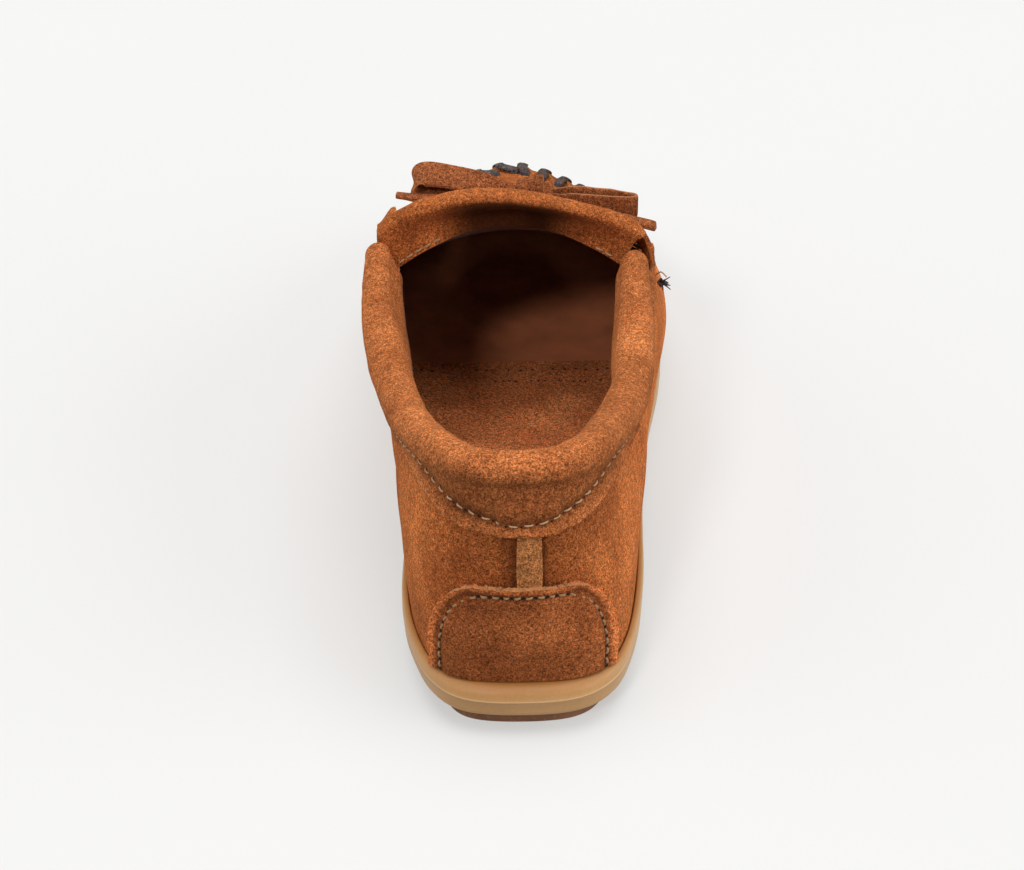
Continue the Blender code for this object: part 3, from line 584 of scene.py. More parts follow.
def pits(name, places, outward, radius):
    """Needle holes: shallow dimples with a raised torn lip, coloured near-black as painted shade for the
    depth of a hole.
    """
    points, faces = [], []
    angle = np.linspace(0, 2 * np.pi, 8, endpoint=False)
    for place, out in zip(places, outward):
        side = unit(np.cross(out, (0.0, 0.3, 1.0)))
        lift = np.cross(side, out)
        start = len(points)
        for reach, height in ((1.0, -0.02), (0.8, 0.05), (0.45, -0.02)):
            points.extend(place + radius * reach * (np.cos(angle)[:, None] * side
                                                    + np.sin(angle)[:, None] * lift)
                          + out * height)
        points.append(place - out * PIT_DEPTH)
        faces.extend(grid_faces(3, 8, close_columns=True, start=start))
        for index in range(8):
            faces.append((start + 16 + index, start + 24, start + 16 + (index + 1) % 8))
    return build(name, points, [face[::-1] for face in faces], [PIT_SHADE])


def grid_normals(points, close_rows=False):
    """Unit normals of a grid, matching the direction its faces turn."""
    if close_rows:
        down = np.roll(points, -1, axis=0) - np.roll(points, 1, axis=0)
    else:
        down = np.gradient(points, axis=0)
    return unit(np.cross(down, np.gradient(points, axis=1)))


def length_along(points):
    steps = np.linalg.norm(np.diff(points, axis=0), axis=-1)
    return np.concatenate([np.zeros_like(steps[:1]), np.cumsum(steps, axis=0)])


def at_lengths(line, count):
    """Resample a line to a number of evenly spaced points."""
    lengths = length_along(line)
    return points_at(np.linspace(0, lengths[-1], count), lengths, line)


def curve_through(points, count):
    points = np.asarray(points, float)
    return at_lengths(spline(points, np.linspace(0, len(points) - 1, count * 3), False), count)


def paint(made, chosen, index):
    """Give the chosen faces another material slot."""
    for face in chosen:
        made.data.polygons[face].material_index = index


# ---- sole ----

def make_outsole():
    """Cupsole: rounded rubber wall with a moulded parting line, a well inside and a ribbed tread."""
    count = 460
    ribs = np.arange(count) / count * RIBS
    rim = rim_width(ribs)
    upper_round = np.minimum(2.8, 0.85 * (rim - 0.3))
    arc = np.radians(np.linspace(90, 0, 6))
    # Each column: offset, height and tone. Tone -1 in the well and on the rim top, and -0.75 to -0.1 over the
    # outer rounding, is painted shade next to the upper; 0.4 makes the parting line paler.
    profile = [(0.0, 4.5, 0.0), (0.3, 4.5, 0.0), (0.3, 6.6, -1.0), (0.05, 7.6, -1.0), (0.4, RIM_TOP, -1.0)]
    columns = [(np.full(count, offset), np.full(count, z), tone) for offset, z, tone in profile]
    for place, angle in enumerate(arc):
        columns.append((rim - upper_round * (1 - math.cos(angle)),
                        RIM_TOP - upper_round * (1 - math.sin(angle)), -0.75 + 0.13 * place))
    for step_out, z, tone in ((0.03, 5.12, 0.0), (0.03, 5.0, 0.05), (0.16, 4.88, 0.4), (0.16, 4.72, 0.4),
                              (0.03, 4.55, 0.05)):
        columns.append((rim + step_out, np.full(count, z), tone))
    for angle in np.radians(np.linspace(0, 90, 7)):
        columns.append((rim - 1.7 * (1 - math.cos(angle)), 1.8 * (1 - math.sin(angle)) + 0 * rim, -0.05))
    rows, tones, treads = [], [], []
    for offset, z, tone in columns:
        plan = feather(ribs, offset)[0]
        rows.append(np.column_stack([plan, underside(plan[:, 1]) + z]))
        tones.append(np.full(count, tone))
        treads.append(np.zeros(count))
    floor, sole = rows[0], rows[-1]
    for source, order in ((floor, -1), (sole, 1)):
        middle = (source + np.roll(source[::-1], 1, axis=0)) / 2
        for step in (0.06, 0.25, 0.5, 0.75, 1.0):
            row = source + (middle - source) * step
            if order > 0:
                rows.append(row)
                tones.append(np.full(count, -0.1))
                treads.append(np.ones(count))
            else:
                rows.insert(0, row)
                tones.insert(0, np.zeros(count))
                treads.insert(0, np.zeros(count))
    grid = np.stack(rows, axis=1)
    sides = (np.stack(treads, 1) == 0) & (grid[..., 2] > underside(grid[..., 1]) + 1.0)
    swell = 0.10 * lattice(grid, 14.0, 3) + 0.05 * lattice(grid, 5.0, 4)
    grid += grid_normals(grid, True) * (swell * sides)[..., None]
    made = build("cupsole", grid, grid_faces(count, grid.shape[1], close_rows=True), [GUM],
                 tone=np.stack(tones, 1), tread=np.stack(treads, 1), weld=0.01)
    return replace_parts(made, "outsole")


def make_heel_lift():
    """Block under the heel: moulded edges, rough sides."""
    ribs = np.linspace(0.02, 6.2, 90)
    outer = feather(ribs, rim_width(ribs) - 4.6)[0]
    inner = feather(RIBS - ribs, rim_width(RIBS - ribs) - 4.6)[0]
    breast = outer[-1] + (inner[-1] - outer[-1]) * np.linspace(0, 1, 32)[1:-1, None]
    outline = np.concatenate([outer, breast, inner[::-1]])
    along = np.roll(outline, -1, axis=0) - np.roll(outline, 1, axis=0)
    normal = unit(np.column_stack([along[:, 1], -along[:, 0]]))
    centre = outline.mean(axis=0)
    rows = []
    for share in (0.0, 0.5, 0.9):
        rows.append(np.column_stack([centre + (outline - normal - centre) * share,
                                     np.full(len(outline), LIFT_HEIGHT)]))
    for inset, z in ((0.5, 5.2), (0.12, 5.05), (0.0, 4.7), (0.0, 2.6), (0.0, 0.7), (0.15, 0.25), (0.6, 0.0)):
        rows.append(np.column_stack([outline - normal * inset, np.full(len(outline), z)]))
    for share in (0.9, 0.5, 0.0):
        rows.append(np.column_stack([centre + (outline - normal - centre) * share,
                                     np.zeros(len(outline))]))
    grid = np.stack(rows, axis=1)
    made = build("lift_block", grid, grid_faces(*grid.shape[:2], close_rows=True), [LIFT], weld=0.01)
    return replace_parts(made, "heel_lift")


def plate_grid(last, inset, top, rows, columns):
    ribs = np.linspace(0.25, last, rows)
    outer, inner = feather(ribs, -inset)[0], feather(RIBS - ribs, -inset)[0]
    share = np.linspace(0, 1, columns)[None, :, None]
    plan = outer[:, None] + (inner - outer)[:, None] * share
    return np.concatenate([plan, (underside(plan[..., 1]) + top)[..., None]], -1)


def make_footbed():
    """Cushioned footbed with a rolled edge, and the napped half sock glued over its heel."""
    bed = plate_grid(TOE_RIB - 0.35, 2.2, 9.5, 200, 50)
    edge = np.linspace(-1, 1, 50)[None]
    bed[..., 2] += 1.6 * np.abs(edge) ** 6 + 0.18 * lattice(bed, 11.0, 8) + 0.5 * (1 - edge ** 2)
    made = sheet_of("footbed", bed, [DARK_LINING, DARK_LINING], 1.5, 0.2)
    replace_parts(made, "insole_foam")
    sock = plate_grid(9.1, 2.9, 10.9, 220, 90)
    edge = np.linspace(-1, 1, 90)[None]
    sock[..., 2] += 1.5 * np.abs(edge) ** 6 + 0.22 * lattice(sock, 9.0, 9) + 0.5 * (1 - edge ** 2)
    sock[..., 2] += 0.16 * lattice(sock, 3.4, 10) + 0.12 * lattice(sock, 1.7, 12)
    front = np.linspace(0, 1, 220)[:, None]
    # Random uneven colour, and painted shade on the front fifth of the sock, deeper in under the throat.
    tone = 0.22 * lattice(sock, 7.0, 11) - 0.25 * smooth(0.8, 1.0, front)
    made = sheet_of("sock_half", sock, [SUEDE_SOCK, EDGE], 1.0, 0.2, tone=tone)
    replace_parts(made, "half_sock")
    holes = []
    for back, reach in ((3.0, 44), (6.5, 30)):
        row = at_lengths(sock[int(219 - back * 1.55)][4:4 + reach * 2 - 6], 20)
        holes.append((row + RANDOM.uniform(-0.35, 0.35, row.shape) * [1, 1, 0])[RANDOM.random(20) < 0.8])
    holes = np.concatenate(holes)
    pits("sock_needle_holes", holes + [0, 0, 0.12], np.tile([0.0, 0.0, 1.0], (len(holes), 1)), 0.42)


# ---- upper ----

SEAM_FIRST, SEAM_LAST = THROAT_RIB + 0.1, RIBS - THROAT_RIB - 0.1
SEAM_RIBS = np.linspace(SEAM_FIRST, SEAM_LAST, 3000)
SEAM_LENGTHS = length_along(spline(TOP, SEAM_RIBS, True))
WHIP_COUNT = 32
WHIP_PITCH = SEAM_LENGTHS[-1] / WHIP_COUNT


def seam_wave(rib):
    """0 where a whip stitch crosses the seam, 1 midway between two stitches, 0 off the seam."""
    length = np.interp(rib, SEAM_RIBS, SEAM_LENGTHS)
    on_seam = smooth(SEAM_FIRST - 0.1, SEAM_FIRST + 0.2, rib)
    on_seam = on_seam * (1 - smooth(SEAM_LAST - 0.2, SEAM_LAST + 0.1, rib))
    return (0.5 - 0.5 * np.cos(2 * np.pi * (length / WHIP_PITCH - 0.5) + np.pi)) * on_seam, on_seam


CREASES = ((4.6, 0.22, 0.5), (5.5, 0.3, 0.7), (6.3, 0.22, -0.4), (7.1, 0.3, 0.6), (25.2, 0.25, 0.55),
           (24.3, 0.3, 0.7), (23.4, 0.24, -0.4), (22.7, 0.3, 0.6), (10.0, 0.2, 0.35), (10.9, 0.22, 0.4),
           (19.6, 0.2, 0.35), (18.9, 0.22, 0.4))


TURNED_EDGE_Z = 4.8


def make_wrap():
    """Suede wall: soft creases in the quarters, gathered between the whip stitches at its top edge."""
    ribs = np.linspace(0.02, RIBS - 0.02, 900)
    heights = np.linspace(0, 1, 44)
    rib, height = np.meshgrid(ribs, heights, indexing="ij")
    points, normals = wall_point(rib, height), wall_normal(rib, height)
    wave, on_seam = seam_wave(rib)
    out = 1.0 * wave * smooth(0.80, 0.97, height) - 0.35 * on_seam * smooth(0.8, 0.95, height)
    crease = sum(amount * np.exp(-((rib - place) / width) ** 2) for place, width, amount in CREASES)
    out += crease * smooth(0.15, 0.7, height) * (1 - 0.6 * smooth(0.8, 1.0, height))
    soft = np.minimum(rib, RIBS - rib)
    free = smooth(3.9, 5.0, soft)
    out += (0.30 * lattice(points, 24.0, 21) + 0.14 * lattice(points, 8.0, 22)) * (0.15 + 0.85 * free)
    points = points + normals * out[..., None]
    points[..., 2] += 0.55 * wave * smooth(0.9, 1.0, height)
    foot, foot_plan = points[:, :1].copy(), feather(ribs, -9.0)[0]
    foot[:, 0, 2] = underside(foot[:, 0, 1]) + TURNED_EDGE_Z
    turned = np.column_stack([foot_plan, underside(foot_plan[:, 1]) + TURNED_EDGE_Z])[:, None]
    # Painted shade: darker at the foot of the wall where it meets the gum. Painted light on the creases:
    # lighter on the outward folds, darker in the inward ones.
    tone = -0.1 * (1 - smooth(0.0, 0.09, height)) + 0.3 * crease * smooth(0.2, 0.8, height)
    # Painted highlight: both quarters lighter towards the sides, more on the outer side, where the suede
    # catches the side light.
    tone += 0.60 * smooth(13.0, 31.0, points[..., 0]) + 0.42 * smooth(14.0, 31.0, -points[..., 0])
    # Random uneven colour, and painted shade at the top edge where each whip stitch pulls the suede in.
    tone += 0.16 * lattice(points, 17.0, 23) - 0.25 * on_seam * (1 - wave) * smooth(0.88, 1.0, height)
    # Beside the heel strip: a broad darker band (brushed nap and painted shade) and a narrow painted shadow
    # line along each side of the strip.
    beside = np.abs(points[..., 0] - STRIP_X)
    strip_shade_mask = (points[..., 1] < 0) * smooth(0.42, 0.6, height)
    tone -= strip_shade_mask * (0.34 * np.exp(-(beside / 9.0) ** 2) + 0.3 * np.exp(-((beside - 3.0) / 1.3) ** 2))
    # Painted shade: the foot and the turned-under edge inside the gum rim are darkened.
    tone = np.concatenate([np.full((len(ribs), 2), -0.6), tone], 1)
    grid = np.concatenate([turned, foot, points], 1)
    made = sheet_of("wrap", grid, [SUEDE_RUST, EDGE, LINING], tone=tone)
    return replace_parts(made, "wrap_upper")


def over_strip(x, margin=0.4):
    level = STRIP_HALF_WIDTH + margin
    return (STRIP_SUEDE + GAP) * (1.0 - smooth(level, level + 3.0, np.abs(x - STRIP_X)))


def make_heel_strip():
    z = np.linspace(STRIP_SEAT_Z, 54.0, 90)[:, None]
    across = np.linspace(1, -1, 14)[None]
    half = STRIP_HALF_WIDTH + 0.12 * np.sin(z / 3.1)
    grid = heel_place(STRIP_X + across * half, z, GAP + STRIP_SUEDE + 0.35 + 0.45 * (1 - across ** 2))
    # Slightly lighter overall with random uneven colour, and a painted highlight along both long edges of the
    # strip.
    made = sheet_of("strip_heel", grid, [SUEDE_STRIP, EDGE], STRIP_SUEDE + 0.3, 0.25,
                    tone=0.14 + 0.15 * lattice(grid, 5.0, 31) + 0.35 * across ** 8 + 0 * z)
    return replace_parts(made, "heel_strip")


def patch_half_width(z, inset=0.0):
    half, top = PATCH_HALF_WIDTH - inset, PATCH_TOP_Z - inset
    corner, rise = PATCH_CORNER - inset * 0.6, PATCH_CORNER_RISE - inset * 0.6
    below = np.clip((z - (top - rise)) / rise, 0.0, 1.0)
    return half - corner * (1.0 - np.sqrt(np.maximum(1.0 - below * below, 0.0)))


def make_heel_patch():
    """Suede overlay sewn on near its edge, with the seat of the heel strip showing through it."""
    rise = np.sin(np.linspace(0, np.pi / 2, 70))[:, None]
    z = PATCH_BOTTOM_Z + (PATCH_TOP_Z - PATCH_BOTTOM_Z) * rise
    across = np.sin(np.linspace(np.pi / 2, -np.pi / 2, 110))[None]
    x = patch_half_width(z) * across + 0.2
    from_edge = np.minimum(patch_half_width(z) * (1 - np.abs(across)), PATCH_TOP_Z - z + 0 * across)
    groove = np.exp(-((from_edge - PATCH_INSET) / 0.75) ** 2)
    seat = over_strip(x) * smooth(STRIP_SEAT_Z - 9.0, STRIP_SEAT_Z - 1.0, z)
    z = z + PATCH_OVER_STRIP * over_strip(x) * rise ** 4
    out = GAP + SUEDE + 0.2 + seat - 0.5 * groove + 0.25 * (1 - smooth(0.0, 1.2, from_edge))
    flat = heel_place(x, z + 0 * across, out)
    out = out + 0.16 * lattice(flat, 7.0, 32)
    grid = heel_place(x, z + 0 * across, out)
    # Random uneven colour, painted shade in the stitch groove, and darker towards the bottom of the patch.
    tone = 0.16 * lattice(grid, 9.0, 33) - 0.3 * groove - 0.25 * (1 - rise) ** 3
    tone += 1.0 * (1 - smooth(0.5, 1.5, from_edge))
    grid += 0.12 * lattice(grid, 1.1, 34)[..., None] * (1 - smooth(0.3, 1.2, from_edge))[..., None]
    made = sheet_of("patch_heel", grid, [SUEDE_PATCH, EDGE], tone=tone)
    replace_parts(made, "heel_patch")
    top = PATCH_TOP_Z - PATCH_INSET
    foot = PATCH_BOTTOM_Z + 0.6
    z = foot + (top - foot) * np.sin(np.linspace(0, np.pi / 2, 90))
    half = patch_half_width(z, PATCH_INSET)
    level = np.linspace(half[-1], -half[-1], 60)[1:-1]
    xs = np.concatenate([half, level, -half[::-1]]) + 0.2
    zs = np.concatenate([z, np.full(len(level), top), z[::-1]])
    zs = zs + PATCH_OVER_STRIP * over_strip(xs) * smooth(28.0, 32.0, zs)
    line = heel_place(xs, zs, GAP + SUEDE + over_strip(xs) - 0.1)
    outward = unit(heel_place(xs, zs, 2.0) - heel_place(xs, zs, 1.0))
    made, marks = stitch_row("patch_stitches", line, outward, 2.6, 0.27, BROWN, fill=0.56)
    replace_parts(made, "heel_patch_stitching")
    nearest = nearest_to(line, marks)
    pits("patch_needle_holes", marks + outward[nearest] * 0.08, outward[nearest], 0.42)


# ---- collar ----

NEAR_RIBS = np.linspace(-10.0, 10.0, 8001)
NEAR_PLAN = wall_point(NEAR_RIBS, 0.9)[:, :2]
COLLAR_PITCH, TIP_ROWS = 3.4, 9
LINING_DROP, LINING_INSET = 17.0, -(3 * SUEDE + 3 * GAP + 0.4)
STITCH_NEARNESS = (0.0, 0.06, 0.12, 0.18, 0.25, 0.32, 0.42, 1.0)
STITCH_DROP = (9.7, 8.6, 6.6, 4.2, 1.6, 1.8, 2.9, 2.9)


def collar_frame(place):
    here = spline(COLLAR, place, False)
    along = (spline(COLLAR, min(place + 0.05, 18.0), False) - spline(COLLAR, max(place - 0.05, 0.0), False))
    outward = unit(np.array([along[1], -along[0], 0.0]))
    return here, outward, unit(along), abs(place - COLLAR_ENDS) / COLLAR_ENDS


def collar_section(place, columns):
    """Section from the raw edge up over the roll and down the lining, its stitch line and roll centre."""
    middle, outward, along, nearness = collar_frame(place)
    radius = ROLL_RADIUS + (ROLL_END_RADIUS - ROLL_RADIUS) * smooth(0.62, 1.0, nearness)
    deepest = COLLAR_DROP - (COLLAR_DROP - COLLAR_SIDE_DROP) * smooth(0.04, 0.33, nearness)
    rib = NEAR_RIBS[np.argmin(np.linalg.norm(NEAR_PLAN - middle[:2], axis=1))]
    drops = deepest * np.array([1.0, 0.83, 0.66])
    heights = height_for(rib, middle[2] - drops)
    leg = wall(np.full(3, rib), heights, GAP + SUEDE)
    away = wall_normal(np.full(3, rib), heights)
    leg = leg + away * (over_strip(leg[:, 0], 3.0) * (1 - smooth(0.2, 0.4, nearness)))[:, None]
    angle = np.radians(np.arange(-20, 181, 20))[:, None]
    roll = middle + outward * radius * np.cos(angle) + np.array([0, 0, radius]) * np.sin(angle)
    lining_foot = wall(rib, height_for(rib, middle[2] - LINING_DROP), LINING_INSET)
    bed_z = underside(middle[1]) + 11.6
    low = wall(rib, height_for(rib, bed_z), LINING_INSET)
    half_way = wall(rib, height_for(rib, (bed_z + middle[2] - LINING_DROP) / 2), LINING_INSET)
    puff = smooth(0.5, 0.8, nearness) * (3.0 if middle[0] < 0 else 1.4)
    hip = middle - outward * (radius * 0.98 + puff) - np.array([0, 0, 4.0 + puff])
    tail = np.array([hip, hip + (lining_foot - hip) * 0.55, lining_foot, half_way, low])
    knots = np.concatenate([leg, roll, tail])
    dense = spline(knots, np.linspace(0, len(knots) - 1, 300), False)
    stitch_z = middle[2] - np.interp(nearness, STITCH_NEARNESS, STITCH_DROP)
    stitch = int(np.argmax(dense[:, 2] > stitch_z))
    lengths = length_along(dense)
    share = np.concatenate([np.linspace(0, 0.62, columns - 14, endpoint=False), np.linspace(0.62, 1, 14)])
    roll_end = lengths[int(300 * (len(leg) + len(roll) + 1) / len(knots))]
    at = np.interp(share, [0, 0.62, 1], [0, roll_end, lengths[-1]])
    return points_at(at, lengths, dense), at - lengths[stitch], dense[stitch], middle, along


def make_collar():
    """Padded suede roll: pinched along its stitches, raw at its lower edge, lined down to the footbed."""
    columns, count = 74, 420
    places = np.linspace(0.0, 17.68, count)
    parts = [collar_section(place, columns) for place in places]
    grid = np.stack([part[0] for part in parts])
    from_stitch = np.stack([part[1] for part in parts])
    line = np.stack([part[2] for part in parts])
    middles = np.stack([part[3] for part in parts])
    lengths = length_along(line)
    normals = grid_normals(grid)
    beat = np.cos(2 * np.pi * lengths / COLLAR_PITCH)[:, None]
    pinch = np.exp(-(from_stitch / 1.25) ** 2)
    out = -(0.55 + 0.22 * beat) * pinch + 0.18 * np.exp(-((from_stitch - 3.2) / 2.0) ** 2)
    out += 0.18 * lattice(grid, 9.0, 41) + 0.30 * lattice(grid, 30.0, 42) + 0.07 * lattice(grid, 3.0, 43)
    inside = smooth(0.42, 0.56, np.linspace(0, 1, columns))[None]
    curl = np.abs(places - 9.0)[:, None]
    wrinkle = 0.10 * np.sin(lengths[:, None] / 1.5 + 2.0 * lattice(grid, 12.0, 44))
    out += wrinkle * inside * (1 - smooth(2, 5, curl))
    grid = grid + normals * out[..., None]
    tip_rows = []
    for end, direction in ((0, -1.0), (count - 1, 1.0)):
        rows = []
        along = parts[end][4] * direction
        weight = (1 - smooth(0.60, 0.72, np.linspace(0, 1, columns)))[:, None]
        for step in np.linspace(0.12, 1, TIP_ROWS):
            shrink = 1 - weight * (1 - math.sqrt(max(1 - step ** 2.4, 0.0))) * 0.92
            rows.append(middles[end] + (grid[end] - middles[end]) * shrink + along * 3.2 * step * weight)
        tip_rows.append(np.array(rows))
    full = np.concatenate([tip_rows[0][::-1], grid, tip_rows[1]])
    share = np.linspace(0, 1, columns)[None]
    # Random uneven colour, and painted shade darkening the inside of the roll as it goes down into the shoe.
    tone = 0.18 * lattice(full, 14.0, 45) - 0.2 * smooth(0.6, 0.8, share)
    # Painted shade in the pinched stitch groove, and a little painted shade towards the outer side of the
    # collar.
    padded = np.pad(pinch, ((TIP_ROWS, TIP_ROWS), (0, 0)))
    tone = tone - 0.28 * padded - 0.08 * smooth(8.0, 30.0, full[..., 0])
    edge_gap = length_along(full.transpose(1, 0, 2)).T
    tone += 0.3 * (1 - smooth(0.1, 0.7, edge_gap))
    # Painted shade on the back of the roll, from just above its raw edge up to the middle of the roll.
    back = np.exp(-((np.arange(len(full)) - TIP_ROWS - 209.5) / 62.0) ** 2)[:, None]
    tone -= 0.52 * back * smooth(0.02, 0.10, share) * (1 - smooth(0.26, 0.44, share))
    made = build("collar_roll", full, grid_faces(*full.shape[:2]), [SUEDE_COLLAR, EDGE, LINING, LINING],
                 tone=tone)
    paint(made, [row * (columns - 1) + column for row in range(len(full) - 1)
                 for column in range(int(columns * 0.76), columns - 1)], 2)
    join_close(made.data, 0.05)
    solid(made, 1.2, 0.0, 2)
    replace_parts(made, "collar", "collar_padding")
    used = slice(12, count - 12)
    normal_at = np.stack([normals[row, int(np.argmin(np.abs(from_stitch[row])))] for row in range(count)])
    seat = line - normal_at * 0.5
    made, marks = stitch_row("collar_stitches", seat[used], normal_at[used], COLLAR_PITCH, 0.22, CREAM,
                             fill=0.6)
    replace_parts(made, "collar_stitching")
    nearest = nearest_to(seat, marks)
    at_back = np.abs(marks[:, 0]) < 15.0
    away = normal_at[nearest][at_back]
    pits("collar_needle_holes", marks[at_back] + away * 0.12, away, 0.27)


# ---- plug and whip lace ----

def make_plug():
    """Top of the forefoot, arched between its seams and gathered between the whip stitches."""
    even = np.linspace(0, 1, 190)
    ribs = THROAT_RIB + (TOE_RIB - 0.3 - THROAT_RIB) * (0.75 * np.sin(np.pi / 2 * even) + 0.25 * even)
    ends = []
    for place in (ribs, RIBS - ribs):
        edge, out = spline(TOP, place, True), wall_normal(place, 1.0)
        level = out * [1, 1, 0]
        width = np.linalg.norm(level, axis=-1, keepdims=True)
        ends.append(edge - unit(level) * (SUEDE * width + 0.55))
    outer, inner = ends
    even = np.linspace(0, 1, 110)
    share = 0.4 * (1 - np.cos(np.pi * even)) + 0.2 * even
    across = 2 * share - 1
    arch = 4.6 * (1 - smooth(88.0, 116.0, (outer + inner)[:, 1] / 2))
    grid = outer[:, None] + (inner - outer)[:, None] * share[None, :, None]
    grid[..., 2] += plug_crown(grid[..., 1]) * (1 - across ** 2)
    grid[..., 1] += arch[:, None] * np.sin(np.pi * share)[None] ** 1.5
    side_rib = np.where(share[None] < 0.5, ribs[:, None], RIBS - ribs[:, None])
    wave, _ = seam_wave(side_rib)
    edge_gap = np.minimum(np.linalg.norm(grid - outer[:, None], axis=-1),
                          np.linalg.norm(grid - inner[:, None], axis=-1))
    near = 1 - smooth(1.0, 7.0, edge_gap)
    grid[..., 2] += 1.15 * wave * near - 0.25 * near
    grid[..., 2] += 0.34 * lattice(grid, 22.0, 51) + 0.13 * lattice(grid, 7.0, 52)
    crease = sum(np.exp(-((grid[..., 1] - place) / 2.4) ** 2) for place in (112.0, 121.0, 131.0))
    grid[..., 2] -= 0.3 * crease * (1 - across ** 4)
    # Random uneven colour, and painted shade along the seams where each whip stitch pulls the suede down.
    tone = 0.18 * lattice(grid, 16.0, 53) - 0.3 * (1 - wave) * near
    made = sheet_of("plug_top", grid, [SUEDE_RUST, EDGE, LINING], tone=tone)
    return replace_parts(made, "plug")


def make_whip_lace():
    """Flat suede lace over the seam: one slanted stitch for each gather, dipping into both layers."""
    paths, radii, wides = [], [], []
    for index in range(3, WHIP_COUNT - 2):
        length = (index + 0.5) * WHIP_PITCH
        here, ahead = (float(np.interp(length + shift, SEAM_LENGTHS, SEAM_RIBS)) for shift in (0.5, -2.7))
        middle = float(np.interp(length, SEAM_LENGTHS, SEAM_RIBS))
        edge, normal = spline(TOP, middle, True), wall_normal(middle, 1.0)
        inward = -unit(normal * [1, 1, 0])
        top = wall_point(here, 1.0)
        fall = 2.9 / max(np.linalg.norm(top - wall_point(here, 0.9)) * 10, 1.0)
        far = spline(TOP, ahead, True) + inward * (5.4 - 1.2 * math.exp(-((middle - TOE_RIB) / 1.2) ** 2))
        far[2] = max(float(plug_height(far[0], far[1])), edge[2])
        lift = np.array([0.0, 0.0, 1.0])
        knots = [wall(here, 1.0 - fall * 1.15, -1.2), wall(here, 1.0 - fall, 0.75),
                 edge + normal * 0.9 + lift * 0.45, edge + inward * 0.9 + lift * 1.2,
                 far + lift * 0.95, far + inward * 0.6 - lift * 1.4]
        path = curve_through(knots, 22)
        paths.append(path)
        radii.append(1.6 * (0.86 + 0.14 * np.sin(np.linspace(0, np.pi, 22))) * RANDOM.uniform(0.92, 1.08))
        wides.append(unit(spline(TOP, middle + 0.02, True) - spline(TOP, middle - 0.02, True)))
    points, faces = tube_mesh(paths, radii, wides, 10, 0.27)
    made = build("whip_stitches", points, faces, [WHIP])
    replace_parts(made, "whip_lace")
    start = wall(THROAT_RIB + 0.1, 0.93, 1.2)
    paths, radii, wides = [], [], []
    for _ in range(16):
        tip = start + np.array([1.8, -2.4, 0.8]) + RANDOM.uniform(-1, 1, 3) * [1.3, 1.6, 1.7]
        bend = (start + tip) / 2 + RANDOM.uniform(-0.6, 0.6, 3)
        paths.append(curve_through([start, bend, tip], 8))
        radii.append(np.linspace(0.34, 0.12, 8))
        wides.append((0.0, 0.0, 1.0))
    points, faces = tube_mesh(paths, radii, wides, 6)
    build("lace_end_frayed", points, faces, [WHIP], "shoe")
    loose = curve_through([start + [-0.6, 0, 2.4], start + [0.6, -1.6, 4.0], start + [1.9, -3.2, 3.4]], 16)
    points, faces = tube_mesh([loose], [np.full(16, 0.2)], [(0.0, 0.0, 1.0)], 6)
    build("loose_thread", points, faces, [CREAM], "shoe")


# ---- kiltie and bow ----

BAND_KNOTS = np.array([(90.6, 85.4, 0.0), (91.6, 85.6, 0.20), (91.4, 85.4, 0.38), (89.0, 85.0, 0.55),
                       (85.4, 84.6, 0.70), (83.5, 84.5, 0.84), (84.9, 85.4, 0.955), (86.8, 87.0, 0.995),
                       (88.2, 88.2, 1.0)])
BAND_LINE = spline(BAND_KNOTS, np.linspace(0, 8, 81), False)
BAND_RISE = np.linspace(0, 1, 81)
BAND_TOP_WAY, FRINGE_WAY, PER_STRIP = -0.13, 0.36, 8


def kiltie_sheet(share, way):
    """Outer face of the kiltie. way: -1 at the foot of the standing band, 0 at the fold, 1 at the tips."""
    share, way = np.broadcast_arrays(np.asarray(share, float), np.asarray(way, float))
    rise = np.clip(way + 1, 0, 1)
    band_left = TONGUE_FOOT_X[0] + TONGUE_FLARE[0] * rise
    band_right = TONGUE_FOOT_X[1] + TONGUE_FLARE[1] * rise
    band_x = band_left + (band_right - band_left) * share
    flap_x = FLAP_X[0] + (FLAP_X[1] - FLAP_X[0]) * share
    join = smooth(-0.6, 0.0, way)
    x = band_x + (flap_x - band_x) * join
    low = plug_height(x, TONGUE_Y + 2.0) - 1.4
    high = fold_height(x)
    deep = np.sin(np.pi * share) ** 1.5
    middle_y, edge_y, lifted = (np.interp(rise, BAND_RISE, BAND_LINE[:, column]) for column in range(3))
    band_y = edge_y + (middle_y - edge_y) * deep
    band_z = low + (high - low) * lifted
    forward = np.clip(way, 0, 1)
    y = FLAP_START_Y + FLAP_LENGTH * forward
    spread = x * (1.0 + FLAP_SPREAD * forward) + 2.6 * smooth(0.0, 0.12, forward) * smooth(20.0, 34.0, x)
    lift = 2.8 + 3.2 * smooth(22.0, 32.0, np.abs(x))
    start = high - plug_height(x, FLAP_START_Y) - lift
    fall = np.exp(-(y - FLAP_START_Y) / FLAP_FALL) * (1.0 - 0.3 * forward)
    hang = (3.5 + 5.5 * (1 - smooth(0.0, 0.4, forward))) * smooth(34.2, 38.6, np.abs(spread))
    hang = hang * smooth(0.0, 0.22, forward)
    flap = np.stack([spread, y, plug_height(spread, y) + lift + start * fall - hang], -1)
    band = np.stack([x, band_y, band_z], -1)
    return np.where((way > 0)[..., None], flap, band)


